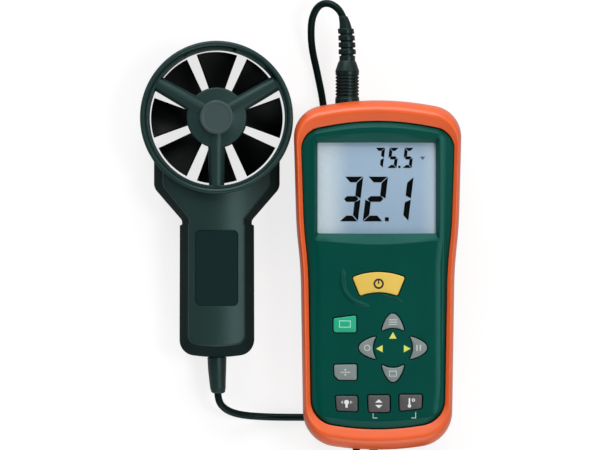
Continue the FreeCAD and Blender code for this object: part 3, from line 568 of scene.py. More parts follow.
def dress(finish, *nodes):
    """Frame nodes in their finish, their facets joined and smooth up to an angle."""
    for node in nodes:
        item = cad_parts[node]
        item.data.materials.clear()
        item.data.materials.append(finish.material)
        item.data.polygons.foreach_set("use_smooth", [True] * len(item.data.polygons))
        weld = item.modifiers.new("join", "WELD")
        weld.merge_threshold = 1e-5
        split = item.modifiers.new("edges", "EDGE_SPLIT")
        split.split_angle = math.radians(32)


# ---------------------------------------------------------------- operators
PIECES = []


class Maker:
    """What every operator of this file shares."""
    bl_options = {"REGISTER", "UNDO"}

    def execute(self, context):
        self.make(context.scene)
        return {"FINISHED"}


def listed(operator):
    """Put an operator in the panel and in the order of making."""
    PIECES.append(operator)
    return operator


@listed
class WM_OT_camera(Maker, bpy.types.Operator):
    """Make the camera, which looks straight down"""
    bl_idname = "wm_meter.camera"
    bl_label = "Camera"

    def make(self, scene):
        settings = scene.wm_stage
        view = bpy.data.cameras.new("overhead")
        view.lens = view.sensor_width * settings.distance / settings.across
        view.clip_start, view.clip_end = 0.1, 20
        camera = bpy.data.objects.new("overhead", view)
        middle, upper_faces = 0.0097, 0.025
        camera.location = (0, middle, upper_faces + settings.distance)
        scene.collection.objects.link(camera)
        scene.camera = camera


# The cord's points, in millimetres: from the probe to the coil, and from the coil to the plug.
PROBE_RUN = [
    (-39.6, -71.0, 14.0), (-39.4, -74.9, 13.2), (-36.8, -78.6, 11.2), (-32.4, -81.0, 8.4),
    (-26.0, -82.4, 5.2), (-18.0, -83.0, 2.6), (-9.0, -83.3, 1.75), (4.0, -83.3, 1.75),
    (11.5, -83.8, 1.75), (19.0, -86.0, 1.75), (24.6, -90.8, 1.75), (27.4, -97.6, 1.75),
    (27.6, -105.6, 1.75), (25.6, -116.0, 1.75),
]
METER_RUN = [
    (58.0, -108.0, 5.25), (50.5, -105.9, 4.2), (43.0, -104.6, 2.2), (37.2, -101.6, 1.75),
    (33.4, -96.0, 1.75), (31.0, -88.6, 1.75), (28.2, -79.0, 1.75), (24.0, -67.5, 1.75), (18.8, -56.0, 1.75),
    (14.6, -44.5, 1.75), (12.6, -31.0, 1.75), (12.1, -10.0, 1.75), (12.6, 20.0, 1.75), (12.6, 50.0, 1.75),
    (11.5, 68.0, 2.0), (8.2, 84.0, 3.6), (5.7, 94.8, 7.4), (5.2, 103.5, 11.2), (5.9, 110.2, 14.4),
    (9.2, 115.9, 17.4), (14.8, 116.6, 19.8), (20.6, 111.6, 21.4), (22.0, 104.6, 22.0),
]


def coil_turns():
    """The coil, anticlockwise: four turns in on the floor, up at its eye and out again on top. The
    radius changes evenly with the turn."""
    inwards, turns, lower, upper = 4, 6.62, 1.75, 5.25
    turn = np.linspace(0, turns, int(turns * 16))
    radius = np.where(turn < inwards, 26.4 - 3.49 * turn, 12.44 + 4.35 * (turn - inwards))
    height = np.interp(turn, [0, 3.8, 4.15, turns], [lower, lower, upper, upper])
    swing = np.pi + 2 * np.pi * turn
    return np.stack([radius * np.cos(swing), radius * np.sin(swing), height], 1) + COIL


@listed
class WM_OT_cord(Maker, bpy.types.Operator):
    """Make the cord from the probe through its coil to the plug"""
    bl_idname = "wm_meter.cord"
    bl_label = "Cord"

    def make(self, scene):
        settings = scene.wm_cord
        jacket = moulded("cord_jacket", settings.jacket, 0.36, grain=0.02, scale=1800,
                         specular_ior_level=0.16, specular_tint=(0.6, 1.0, 0.98, 1.0))
        route = np.vstack([PROBE_RUN, coil_turns(), METER_RUN]) * MM
        line = bpy.data.curves.new("cord", "CURVE")
        line.dimensions = "3D"
        spline = line.splines.new("NURBS")
        spline.points.add(len(route) - 1)
        spline.points.foreach_set("co", np.column_stack([route, np.ones(len(route))]).ravel())
        spline.order_u = 3
        spline.use_endpoint_u = True
        spline.resolution_u = 6
        line.bevel_depth = settings.thick / 2
        line.bevel_resolution = 4
        line.use_fill_caps = True
        line.materials.append(jacket.material)
        cord = bpy.data.objects.new("cord", line)
        scene.collection.objects.link(cord)
        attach(cord, "root")
        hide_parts("cord_probe_run", "cord_meter_run", "cord_coil")
        dress(moulded("tie", shade("101414"), 0.5), "coil_tie")


@listed
class WM_OT_plug(Maker, bpy.types.Operator):
    """Make the round plug, its ribbed bend relief, metal nose and pins"""
    bl_idname = "wm_meter.plug"
    bl_label = "Plug"

    def make(self, scene):
        rubber = moulded("plug_rubber", scene.wm_cord.plug, 0.36, grain=0.03,
                         specular_ior_level=0.3, specular_tint=GREEN_SHEEN)
        r, grooves, ribs_made = 5.65, 7, 4
        grip = [(3.0, 66, 0.2), (4.4, 66, 0.1), (4.4, 67.6, 0.1), (r + 0.15, 67.6, 0.25),
                (r + 0.15, 70.3, 0.25), (r, 70.6, 0.05)]
        for i in range(grooves):
            y = 71.3 + 1.6 * i
            grip += [(r, y, 0.12), (r - 0.5, y + 0.25, 0.12), (r - 0.5, y + 0.6, 0.12),
                     (r, y + 0.85, 0.12)]
        grip += [(r, 82.9, 0.3), (r + 0.1, 83.7, 0.6), (4.3, 88.0, 0.5), (3.8, 88.6, 0.2), (3.8, 91, 0.2),
                 (3.0, 91, 0.1)]
        piece("plug_grip", turned(rounded(grip, steps=4, runs=1)[::-1], PLUG, "y", 72), rubber,
              nodes=["plug_body"])
        ribs = [(1.9, 90.8, 0.1), (3.0, 90.8, 0.1)]
        for i in range(ribs_made):
            y, out = 91.6 + 3.3 * i, 4.2 - 0.1 * i
            ribs += [(3.0, y, 0.15), (out, y + 0.15, 0.35), (out - 0.05, y + 2.5, 0.35),
                     (3.0, y + 2.65, 0.15)]
        ribs += [(2.9, 104.9, 0.3), (2.15, 110.0, 0.4), (1.6, 110.1, 0.1), (1.6, 104.0, 0.1),
                 (1.9, 103.6, 0.1)]
        points, faces = turned(rounded(ribs, steps=4, runs=3)[::-1], PLUG, "y", 72)
        bent = (points[:, 1] - 91).clip(0)
        tip = (bent - 14).clip(0)
        points[:, 0] -= 0.0043 * bent ** 2 + 0.021 * tip ** 2
        piece("plug_bend_relief", (points, faces), rubber, nodes=["plug_relief"])
        dress(metal("plug_nose", shade("B8BABB"), 0.3), "plug_shell")
        dress(metal("contact_gold", shade("D8B860"), 0.3), "plug_pins")


@listed
class WM_OT_boot(Maker, bpy.types.Operator):
    """Make the rubber boot with its rolled lip and four feet"""
    bl_idname = "wm_meter.boot"
    bl_label = "Boot"

    def make(self, scene):
        settings = scene.wm_case
        wall, crest, lip = settings.wall / MM, settings.crest / MM, settings.lip / MM
        ends_to_flanks = 5.3 / 1.8
        far = ends_to_flanks * crest
        roll = np.radians(np.linspace(0, 84, 15))
        section = [(9.0, 9.0, 4.8), (8.6, 8.6, 4.4), (3.0, 3.6, 4.4), (2.0, 2.5, 4.5), (0.9, 1.2, 5.1),
                   (0.25, 0.35, 6.1), (0, 0, 7.4), (0, 0, 12), (0, 0, 20)]
        section += [(crest * (1 - math.cos(a)), far * (1 - math.cos(a)), 27 + 12 * math.sin(a)) for a in roll]
        for t, drop in ((0.03, 0.02), (0.12, 0.1), (0.25, 0.32), (0.6, 0.93), (0.88, 1.4), (0.96, 1.56),
                        (1.0, 1.8)):
            section.append((crest + (lip - crest) * t, far + (9.9 - far) * t, CASE_TOP - drop))
        section += [(lip, 9.9, 37.0), (lip - 0.05, 9.8, 36.7), (wall, wall, 36.6), (wall, wall, 6.6),
                    (9.0, 9.0, 6.6)]
        rings = [lift(case_outline(side, end), z) for side, end, z in section]
        feet = [slab(tablet(side * x - 2.8, y - 9, side * x + 2.8, y + 9, 2.5), low=0, high=4.6,
                     edge=0.2, foot=0.5)
                for x, y in ((34.4, 48), (30.3, -66)) for side in (-1, 1)]
        rubber = moulded("boot_rubber", settings.boot, 0.3, grain=0.025, scale=2200, spread=0.025)
        piece("boot", gathered(skin(rings, joined=True), *feet), rubber, METER, nodes=["meter_boot"],
              sharp=50)


def disc(x, y, radius):
    """Distance outside a circle."""
    return (x * x + y * y).root() - radius


def bar(x, y, wide, high):
    """Distance outside a bar of half sizes wide and high."""
    return abs(x) - wide | abs(y) - high


def arrow(x, y, tip_x, tip_y, long, half):
    """A triangle mask: its tip, and how far it runs back and spreads to each side."""
    size = math.hypot(tip_x, tip_y)
    along = (x * (tip_x / size) + y * (tip_y / size)) * -1 + size
    across = abs(x * (tip_y / size) - y * (tip_x / size))
    return (across - along * (half / long) | along - long | along * -1).under(0)


@listed
class WM_OT_face(Maker, bpy.types.Operator):
    """Make the case's face: sloped border, sunk window and holes for the keys"""
    bl_idname = "wm_meter.face"
    bl_label = "Face"

    def make(self, scene):
        settings = scene.wm_case
        edge = settings.edge / MM
        top, under = FACE_TOP, FACE_UNDER
        flat, border = face_outline(0), case_outline(3.9, 10.4)
        outer = [lift(face_outline(0.7), top), lift(face_outline(0.55), top)]
        for t, drop in ((0.0, 0.02), (0.06, 0.08), (0.14, 0.22), (0.3, 0.53), (0.55, 1.05), (0.8, 1.56),
                        (1.0, 1.95)):
            outer.append(lift(flat * (1 - t) + border * t, top - drop))
        outer += [lift(border, 36), lift(border, under)]
        lean = np.linspace(0, np.pi / 2, 5)
        rim = rounded([(-30.2, 2.6, 1.2), (-0.5, 0.0, 160), (29.2, 2.6, 1.2), (29.2, 51.2, 1.2),
                       (-0.5, 54.2, 140), (-30.2, 51.2, 1.2)], steps=10, runs=4)
        sill = rounded([(-28.8, 5.7, 0.8), (-0.5, 5.6, 900), (27.8, 5.7, 0.8), (27.8, 49.1, 0.8),
                        (-0.5, 49.2, 900), (-28.8, 49.1, 0.8)], steps=10, runs=4)
        window = [lift(grown(rim, out), top - drop)
                  for out, drop in ((0.35, 0), (0.3, 0), (0.2, 0.03), (0.08, 0.12), (0.0, 0.3))]
        window += [lift(rim * (1 - t) + sill * t, top - 0.3 - 2.4 * t) for t in (0.5, 0.95, 1.0)]
        window += [lift(sill, 35.4), lift(sill, under)]
        holes = [window]
        for line in KEY_LINES.values():
            room = grown(line, 0.5)
            hole = [lift(grown(room, edge + 0.07), top)]
            hole += [lift(grown(room, edge * (1 - math.sin(t))), top - edge * (1 - math.cos(t)))
                     for t in lean]
            holes.append(hole + [lift(room, 36.5), lift(room, under)])
        plastic = moulded("case_green", settings.case, 0.36, grain=0.035, scale=2400, spread=0.05,
                          specular_ior_level=0.25, specular_tint=(0.4, 1.0, 0.93, 1.0))
        x, y, z = plastic.axes(METER)
        up, left, right = [arrow(x - at_x, y - at_y, tip_x, tip_y, long=3.2, half=1.75)
                           for at_x, at_y, tip_x, tip_y in
                           ((7.2, -45.6, 0, 4.2), (2.3, -49.4, -3.2, 0), (12.2, -49.4, 3.4, 0))]
        across = abs(x - 7.9)
        past = across - 10.3
        brackets = (past * -1 - 0.26 | past | abs(y + 81.2) - 1.45).under(0, 0.04)
        feet = (abs(y + 82.5) - 0.14 | past | (across - 8.1) * -1).under(0, 0.04)
        tone = plastic.mix(up | left | right, plastic.tone, shade("DDE06A"))
        prints = (brackets | feet) & z.fade(top - 0.2, top - 0.1)
        plastic.set("Base Color", plastic.mix(prints, tone, shade("D8E4E0")))
        relief = self.ridges(x, y) - self.roll(x, y)
        plastic.set("Normal", plastic.bump(plastic.height, 0.035, plastic.bump(relief, 0.6)))
        piece("case_face", pierced(outer, holes), plastic, METER, nodes=["front_cover"])

    def ridges(self, x, y):
        """Two arcs beside the power key: high where the distance from a circle is small."""
        left = abs(disc(x + 5.1, y + 16.5, 12.0)).fade(0, 1.6, 1, 0) * (x + y * 0.7).fade(-27, -24, 1, 0)
        right = abs(disc(x - 0.4, y + 46.0, 22.1)).fade(0, 0.9, 1, 0) * abs(x - 7).fade(2.5, 5, 1, 0)
        return left | right * y.fade(-30, -29)

    def roll(self, x, y):
        """The face's long sides roll down: the square of the way past a line inside each side."""
        wide = 3.2
        side = y.fade(-12, 12, 29.9, 31.8) - y.fade(-82, -66, 1.2, 0)
        way = (abs(x) - side + wide & wide) | 0
        return way * way * (0.8 / wide ** 2)


SEGMENTS = {"1": "bc", "2": "abged", "3": "abgcd", "5": "afgcd", "7": "abc"}


def bar_shell(line, level):
    """A thin dark bar that lies on the display cell."""
    return skin([lift(line, level), lift(line, level + 0.06)])


def figure(digit, left, low, wide, high, thick, slant, level):
    """One seven-segment figure: mitred bars with thin gaps, leaned over by the slant. Bars b to e are
    bars a and f turned over about the figure's middle lines."""
    t, gap, half = thick, thick * 0.09, high / 2
    top = [(gap, high), (wide - gap, high), (wide - t - gap, high - t), (t + gap, high - t)]
    side = [(0, high - gap), (t, high - t - gap), (t, half + t / 2 + gap), (0, half + gap)]
    middle = [(t * 0.25 + gap, half), (t * 0.75 + gap, half + t / 2), (wide - t * 0.75 - gap, half + t / 2),
              (wide - t * 0.25 - gap, half), (wide - t * 0.75 - gap, half - t / 2),
              (t * 0.75 + gap, half - t / 2)]
    shapes = {"a": (top, 1, 1), "d": (top, 1, -1), "f": (side, 1, 1), "e": (side, 1, -1),
              "b": (side, -1, 1), "c": (side, -1, -1), "g": (middle, 1, 1)}
    centre = np.array([wide / 2, half])
    bars = []
    for name in SEGMENTS[digit]:
        shape, flip_x, flip_y = shapes[name]
        line = (np.array(shape) - centre) * (flip_x, flip_y) + centre
        line[:, 0] += line[:, 1] * slant
        line += (left, low)
        bars.append(bar_shell(line, level))
    return bars


@listed
class WM_OT_display(Maker, bpy.types.Operator):
    """Make the display cell, its figures and the clear window"""
    bl_idname = "wm_meter.display"
    bl_label = "Display"

    def make(self, scene):
        settings = scene.wm_display
        cell = moulded("display_glass", settings.cell, 0.3, grain=0.001, scale=500, spread=0.0)
        x, y, _ = cell.axes(METER)
        # Painted highlight: the cell turns paler, towards E2F0F8, near its left edge and less so near its
        # right, standing in for light falling on the cell.
        side = x.fade(-26, -12, 1.0, 0.0) | x.fade(19, 28) * 0.55
        tone = cell.mix(y.fade(2, 50), tint(settings.cell, 0.92), tint(settings.cell, 1.06))
        tone = cell.mix(side * 0.85, tone, shade("E2F0F8"))
        mark = arrow(x - 21.45, y - 41.6, 0, -0.8, long=1.6, half=1.3)
        cell.set("Base Color", cell.mix(mark, tone, shade("56646E")))
        dress(cell, "lcd_panel")
        ink = moulded("display_ink", settings.ink, 0.6, grain=0.002, spread=0.0, specular_ior_level=0.05)
        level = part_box("lcd_panel")[1].z / MM - 0.01
        large, small = (11.45, settings.large / MM, 2.75), (36.96, settings.small / MM, 1.5)
        shells = []
        for digit, left, wide, (low, high, thick) in (
                ("3", -18.4, 8.9, large), ("2", -7.2, 9.6, large), ("1", 6.1, 8.5, large),
                ("7", -2.2, 4.6, small), ("5", 4.5, 4.5, small), ("5", 11.8, 4.4, small)):
            shells += figure(digit, left, low, wide, high, thick, settings.slant, level)
        for dot_x, dot_y, half in ((4.35, 12.45, 0.95), (10.35, 37.5, 0.55)):
            square = tablet(dot_x - half, dot_y - half, dot_x + half, dot_y + half, 0.1, steps=3, runs=0)
            shells.append(bar_shell(square, level))
        piece("display_figures", gathered(*shells), ink, METER, sharp=20)
        clear = Finish("clear_window", base_color=shade("0C0E10"), roughness=0.06, alpha=0.05)
        clear.set("Normal", clear.bump(clear.noise(60, 1.0), 0.0015))
        dress(clear, "lcd_window")


def key_cap(line, top, crown, edge):
    """A key: its line carried up its side and over a quarter-round edge, then drawn in to the middle
    as the crown rises by one less the square of the way out."""
    lean = np.linspace(0, np.pi / 2, 6)
    shoulder = top - crown
    rings = [lift(line, 33.3), lift(line, shoulder - edge)]
    rings += [lift(grown(line, edge * (math.cos(t) - 1)), shoulder - edge + edge * math.sin(t))
              for t in lean[1:]]
    inner = grown(line, -edge)
    middle = inner.mean(0)
    for out in (0.93, 0.82, 0.68, 0.52, 0.35, 0.18, 0.0):
        rings.append(lift(middle + (inner - middle) * out, shoulder + crown * (1 - out ** 2)))
    return skin(rings, high_cap=False)


def key_sign(name, x, y):
    """The small printed sign on each key, as a distance that is below nothing inside it."""
    if name == "power_key":
        loop = abs(disc(x, y, 2.05)) - 0.44
        return loop & bar(x, y - 0.9, 0.32, 1.0)
    if name == "area_key":
        return abs(bar(x, y, 2.6, 1.5)) - 0.2
    if name == "average_key":
        return bar(x, y, 2.3, 0.2) & disc(x, y - 1.2, 0.45) & disc(x, y + 1.2, 0.45)
    if name == "light_key":
        rays = bar(abs(x) - 1.9, y - 0.7, 0.16, 0.7) & bar(abs(x) - 2.5, y - 0.7, 0.12, 0.4)
        return disc(x, y - 0.7, 1.15) & bar(x, y + 0.9, 0.55, 1.0) & rays
    if name == "max_min_key":
        bend = abs(y) - 0.55
        return abs(x) * 0.9 + bend - 1.6 | bend * -1
    if name == "temperature_key":
        degree = abs(disc(x - 1.3, y - 1.3, 0.6)) - 0.2
        return disc(x + 0.6, y + 1.5, 0.85) & bar(x + 0.6, y - 0.3, 0.38, 1.9) & degree
    if name == "up_key":
        return bar(x, abs(y) - 1.1, 1.9, 0.2) & bar(x, y, 1.9, 0.2)
    if name == "down_key":
        return abs(bar(x, y, 1.7, 1.2)) - 0.18
    if name == "left_key":
        return abs(disc(x, y, 1.3)) - 0.2
    return bar(abs(x) - 0.8, y, 0.3, 1.4)


@listed
class WM_OT_keys(Maker, bpy.types.Operator):
    """Make the ten keys with their printed signs"""
    bl_idname = "wm_meter.keys"
    bl_label = "Keys"

    def make(self, scene):
        settings = scene.wm_keys
        crown, edge = settings.crown / MM, settings.edge / MM
        plain = ("key_grey", settings.grey, shade("C2CACA"))
        dark = ("key_dark", settings.dark, shade("E4E4E4"))
        looks = {"power_key": ("key_yellow", settings.power, shade("060402")),
                 "area_key": ("key_green", settings.area, shade("9FE6CC")),
                 "light_key": dark, "max_min_key": dark, "temperature_key": dark}
        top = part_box("power_key")[1].z / MM
        for name, line in KEY_LINES.items():
            slot, base, ink = looks.get(name, plain)
            middle = (line.min(0) + line.max(0)) / 2
            rubber = moulded(name + "_rubber", base, 0.5, grain=0.05, scale=1500, spread=0.03)
            x, y, _ = rubber.axes(METER + (*middle, 0))
            sign = key_sign(name, x, y).under(0, 0.05)
            rubber.set("Base Color", rubber.mix(sign, rubber.tone, ink))
            piece(name + "_cap", key_cap(line, top, crown, edge), rubber, METER, body=name,
                  nodes=[name])


@listed
class WM_OT_duct(Maker, bpy.types.Operator):
    """Make the round duct and both guards"""
    bl_idname = "wm_meter.duct"
    bl_label = "Duct and guards"

    def make(self, scene):
        settings = scene.wm_probe
        rim = settings.rim / MM
        plastic = moulded("probe_plastic", settings.shell, 0.4, grain=0.03, scale=2600, spread=0.05,
                          specular_ior_level=0.3, specular_tint=GREEN_SHEEN)
        wall = rounded([(32.9, 6.2, 0.1), (34.3, 6.2, 0.1), (34.3, 1.0, 0.3), (35.2, 0, 0.3),
                        (36.7, 0, rim), (36.7, 32, rim), (35.2, 32, 0.3), (34.3, 31.3, 0.2),
                        (34.3, 25.4, 0.1), (32.9, 25.4, 0.1)], steps=5, runs=1)
        piece("duct_wall", turned(wall, PROBE, steps=180), plastic, nodes=["vane_duct"])
        front = moulded("guard_plastic", settings.shell, 0.42, grain=0.03, scale=2600, spread=0.05,
                        specular_ior_level=0.35, specular_tint=GREEN_SHEEN)
        x, y, _ = front.axes(PROBE)
        front.set("Base Color", front.mix(disc(x, y, 8.2).under(0, 0.2), front.tone, settings.boss))
        self.guard("front_guard", front, base=25.5, way=1, hub_high=3.8, boss_high=6.3, half=3.7,
                   high=5.0, rim_high=4.6)
        self.guard("rear_guard", plastic, base=6.0, way=-1, hub_high=3.6, boss_high=5.4, half=2.5,
                   high=4.4, rim_high=4.4)

    def guard(self, name, finish, base, way, hub_high, boss_high, half, high, rim_high):
        """A hub and raised middle, both profiles turned about the vane's axis, three half-round
        spokes and a rim with two long notches in its top."""
        lean = np.linspace(0, np.pi / 2, 6)
        hub = [(0.0, 0.0), (14.4, 0.0), (14.4, hub_high - 0.9)]
        hub += [(13.5 + 0.9 * math.cos(t), hub_high - 0.9 + 0.9 * math.sin(t)) for t in lean]
        hub += [(8.6, hub_high + 0.2), (8.1, hub_high + 0.35), (8.0, hub_high + 0.6), (8.0, boss_high - 0.6)]
        hub += [(7.4 + 0.6 * math.cos(t), boss_high - 0.6 + 0.6 * math.sin(t)) for t in lean]
        hub += [(6.4, boss_high), (6.2, boss_high - 0.08), (5.9, boss_high - 0.08), (0.0, boss_high - 0.08)]
        shells = [turned(hub, (0, 0, 0), steps=96, joined=False)]
        bend = np.linspace(0, np.pi, 15)
        cross = np.column_stack([-half * np.cos(bend), high - half + half * np.sin(bend)])
        cross = np.vstack([(-half, 0.3), cross, (half, 0.3)])
        out = np.array([7.6, 8.0, 16.0, 32.6, 33.0])
        close = np.array([1.16, 1.2, 1.08, 1.0, 0.94])
        for turn in np.radians([30, 150, 270]):
            along = np.array([math.cos(turn), math.sin(turn)])
            side = np.array([-along[1], along[0]])
            flat = out[:, None, None] * along + (close[:, None] * cross[:, 0])[..., None] * side
            level = np.minimum(close, 1)[:, None] * cross[:, 1]
            shells.append(skin(np.concatenate([flat, level[..., None]], -1)))
        ring = rounded([(32.65, 0, 0.1), (34.2, 0, 0.1), (34.2, rim_high, 0.25), (32.65, rim_high, 0.35)],
                       steps=4, runs=1)
        angle = np.linspace(0, 2 * np.pi, 240, endpoint=False)
        degrees = np.degrees(angle)
        notch = np.zeros_like(angle)
        for start, end in ((74, 118), (32, 46)):
            notch += np.clip((degrees - start) / 1.5, 0, 1) * np.clip((end - degrees) / 1.5, 0, 1)
        deep = (ring[:, 1:] > 2.0) * 2.6 * notch
        flat = np.stack([ring[:, :1] * np.cos(angle), ring[:, :1] * np.sin(angle), ring[:, 1:] - deep], -1)
        shells.append(skin(flat, joined=True))
        points, faces = gathered(*shells)
        piece(name + "_shell", (points * (1, 1, way), faces), finish, PROBE + (0, 0, base),
              nodes=[name])


@listed
class WM_OT_impeller(Maker, bpy.types.Operator):
    """Finish the impeller, its shaft and bearings, and the other metal parts"""
    bl_idname = "wm_meter.impeller"
    bl_label = "Impeller"

    def make(self, scene):
        black = moulded("impeller_black", scene.wm_probe.blades, 0.5, grain=0.02, specular_ior_level=0.15)
        dress(black, "impeller")
        dress(metal("steel", shade("CFD1D3"), 0.25), "impeller_shaft", "probe_screws", "case_screws",
              "battery_door_screw", "board_screws", "stand_pin", "battery_contacts")
        dress(metal("brass", shade("D9BC6E"), 0.3), "front_bearing", "rear_bearing", "tripod_bush",
              "sensor_socket")


@listed
class WM_OT_handle(Maker, bpy.types.Operator):
    """Make the probe's handle, blank label and strain relief"""
    bl_idname = "wm_meter.handle"
    bl_label = "Handle"

    def make(self, scene):
        settings = scene.wm_probe
        # Painted shade: the handle's sloped sides and the rear shell take a darker copy of the shell colour,
        # 0.6 of it, with little gloss, standing in for the shade that falls on them.
        flank = moulded("handle_flank_painted_shade", tint(settings.shell, 0.6), 0.5, grain=0.04, scale=2200,
                        specular_ior_level=0.05, specular_tint=GREEN_SHEEN)
        plastic = moulded("handle_plastic", settings.shell, 0.42, grain=0.04, scale=2200, spread=0.05,
                          specular_ior_level=0.4, specular_tint=GREEN_SHEEN)
        x, half_flat = plastic.axes(PROBE)[0], 13.3
        crown = plastic.bump(x * x * (-1 / half_flat ** 2), 2.6)
        plastic.set("Normal", plastic.bump(plastic.height, 0.04, crown))
        grip, facet = saddle(handle_outline(0)), saddle(handle_facet(0))
        outer = [lift(saddle(handle_facet(-0.45)), HANDLE_TOP), lift(saddle(handle_facet(-0.35)), HANDLE_TOP)]
        for t, z in ((1.0, 27.93), (0.97, 27.78), (0.92, 27.4), (0.5, 24.25), (0.06, 20.95), (0.02, 20.5),
                     (0.0, 19.8)):
            outer.append(lift(grip * (1 - t) + facet * t, z))
        seam = saddle(handle_outline(0.25))
        outer += [lift(grip, 17), lift(grip, 14.35), lift(seam, 14.2), lift(seam, 14.0)]
        seat = tablet(-10.3, -90.5, 10.3, -54.0, 2.6, steps=8, runs=6)
        recess = [lift(grown(seat, out), HANDLE_TOP - drop)
                  for out, drop in ((0.2, 0), (0.15, 0), (0.04, 0.05), (0, 0.15), (0, 0.65))]
        recess.append(lift(grown(seat, -0.05), LABEL_FLOOR))
        front = piece("handle_front", pierced(outer, [], [recess]), plastic, PROBE,
                      nodes=["handle_front_shell"])
        front.data.materials.append(flank.material)
        # Faces lower than the label's floor, the sloped sides, take that darker painted-shade copy.
        middles = np.empty(len(front.data.polygons) * 3)
        front.data.polygons.foreach_get("center", middles)
        below = middles[2::3] < LABEL_FLOOR * MM
        front.data.polygons.foreach_set("material_index", below.astype(np.int32))
        dress(flank, "handle_rear_shell")
        blank = moulded("label_blank", settings.label, 0.52, grain=0.01, spread=0.02,
                        specular_ior_level=0.12)
        plate = slab(tablet(-10.1, -90.3, 10.1, -54.2, 2.4, steps=8, runs=6), low=27.2, high=27.75,
                     edge=0.12)
        piece("label_face", plate, blank, PROBE, nodes=["label_plate"])
        sleeve = [(1.9, -108, 0.1), (4.1, -108, 0.1), (4.15, -115.2, 0.1), (4.6, -115.4, 0.3),
                  (4.4, -121, 3.0), (3.75, -130.2, 2.0), (3.3, -132.1, 0.5), (2.4, -132.7, 0.2),
                  (1.9, -132.7, 0.1)]
        points, faces = turned(rounded(sleeve, steps=6, runs=6), (0, 0, 14), "y", 72)
        points[:, 0] += 0.002 * (-115 - points[:, 1]).clip(0) ** 2
        piece("strain_relief", (points, faces), plastic, PROBE,
              nodes=["probe_strain_relief"])


@listed
class WM_OT_rear(Maker, bpy.types.Operator):
    """Finish the back: rear cover, battery door, stand and the parts inside"""
    bl_idname = "wm_meter.rear"
    bl_label = "Rear and inside"

    def make(self, scene):
        case = moulded("case_back_green", scene.wm_case.case, 0.42, grain=0.05, scale=1500)
        dress(case, "rear_cover", "battery_door", "tilt_stand")
        board = moulded("circuit_board", shade("0E5A32"), 0.35, grain=0.02, scale=700, spread=0.15)
        dress(board, "main_board", "probe_board")
        dress(moulded("chips", shade("17181A"), 0.5), "board_components")
        dress(metal("domes", shade("C8C9CA"), 0.35), "dome_switches")
        dress(moulded("mat_rubber", shade("2A2D2E"), 0.7, grain=0.05), "keypad_mat")
        dress(moulded("white_plastic", shade("E6E6E2"), 0.5), "lcd_backlight", "lcd_frame")
        dress(moulded("connector_strip", shade("5A5F66"), 0.6), "lcd_connector")
        dress(moulded("battery_can", shade("2E3236"), 0.35, grain=0.01), "battery")
        dress(moulded("pickup_bobbin", shade("1C1E20"), 0.5), "pickup_coil")


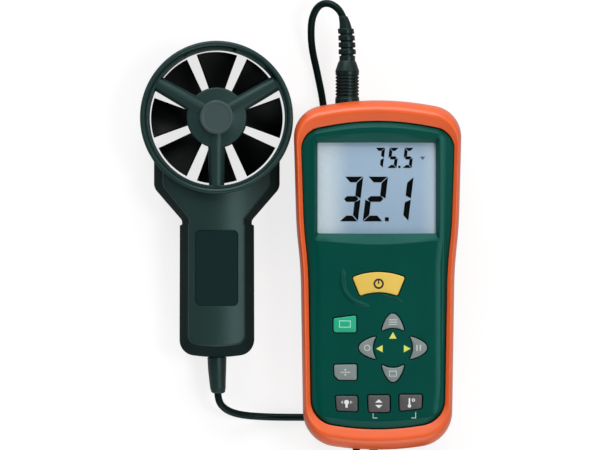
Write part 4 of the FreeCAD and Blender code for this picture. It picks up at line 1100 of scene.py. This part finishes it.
@listed
class WM_OT_stage(Maker, bpy.types.Operator):
    """Make the floor, the surroundings and the lamps"""
    bl_idname = "wm_meter.stage"
    bl_label = "Stage"

    def make(self, scene):
        floor = Finish("floor", base_color=scene.wm_stage.floor, roughness=0.9, specular_ior_level=0.1,
                       emission_strength=1.0)
        rays = floor.node("ShaderNodeLightPath").socket.node.outputs
        camera, through, mirrored_ray = [Wire(floor, rays[f"Is {kind} Ray"])
                                         for kind in ("Camera", "Transmission", "Glossy")]
        seen = camera | through | mirrored_ray * 0.35
        floor.set("Emission Color", floor.mix(seen, (0, 0, 0, 1), (0.78, 0.78, 0.78, 1)))
        mesh = bpy.data.meshes.new("floor")
        reach, level = 6.0, -0.0002
        mesh.from_pydata([(-reach, -reach, level), (reach, -reach, level), (reach, reach, level),
                          (-reach, reach, level)], [], [(0, 1, 2, 3)])
        mesh.materials.append(floor.material)
        ground = bpy.data.objects.new("floor", mesh)
        scene.collection.objects.link(ground)
        self.surroundings(scene)
        for name, place, size, power in (("head_lamp", (-0.3, 2.1, 1.0), 2.0, 40),
                                         ("side_lamp", (1.0, 0.1, 1.9), 0.6, 13),
                                         ("fill_lamp", (0.3, -2.0, 0.8), 2.0, 24)):
            self.lamp(scene, name, place, size, power)

    def surroundings(self, scene):
        """A room that is brightest half way up and towards the head, dim near the floor and straight
        overhead, where a camera would stand."""
        world = bpy.data.worlds.new("room")
        scene.world = world
        room = Nodes(world)
        _, y, z = room.split(room.node("ShaderNodeTexCoord", out="Generated"))
        level = z.fade(0.15, 0.5, 0.15, 0.85) * z.fade(0.6, 0.88, 1.0, 0.06) * y.fade(0.0, 0.6, 0.5, 1.9)
        room.end("ShaderNodeOutputWorld", room.node("ShaderNodeBackground", sockets={"Strength": level}))

    def lamp(self, scene, name, place, size, power):
        """A square soft lamp that faces the object."""
        light = bpy.data.lights.new(name, "AREA")
        light.size, light.energy = size, power
        lamp = bpy.data.objects.new(name, light)
        lamp.location = place
        lamp.rotation_mode = "QUATERNION"
        lamp.rotation_quaternion = (-lamp.location).to_track_quat("-Z", "Y")
        scene.collection.objects.link(lamp)


class WM_PT_panel(bpy.types.Panel):
    """Lists the pieces of the weather meter"""
    bl_label = "Weather Meter"
    bl_idname = "WM_PT_panel"
    bl_space_type = "VIEW_3D"
    bl_region_type = "UI"
    bl_category = "Weather Meter"

    def draw(self, context):
        for settings in GROUPS:
            box = self.layout.box()
            group = getattr(context.scene, settings)
            for name in group.bl_rna.properties.keys():
                if name not in ("rna_type", "name"):
                    box.prop(group, name)
        for operator in PIECES:
            self.layout.operator(operator.bl_idname)


GROUPS = {"wm_case": WM_CaseSettings, "wm_keys": WM_KeySettings, "wm_display": WM_DisplaySettings,
          "wm_probe": WM_ProbeSettings, "wm_cord": WM_CordSettings, "wm_stage": WM_StageSettings}


def register():
    for name, settings in GROUPS.items():
        bpy.utils.register_class(settings)
        setattr(bpy.types.Scene, name, bpy.props.PointerProperty(type=settings))
    for operator in PIECES:
        bpy.utils.register_class(operator)
    bpy.utils.register_class(WM_PT_panel)


def unregister():
    bpy.utils.unregister_class(WM_PT_panel)
    for operator in reversed(PIECES):
        bpy.utils.unregister_class(operator)
    for name, settings in GROUPS.items():
        delattr(bpy.types.Scene, name)
        bpy.utils.unregister_class(settings)


def main():
    """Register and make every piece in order."""
    register()
    bpy.context.scene.view_settings.view_transform = "Standard"
    for operator in PIECES:
        group, name = operator.bl_idname.split(".")
        getattr(getattr(bpy.ops, group), name)()


if __name__ == "__main__":
    main()
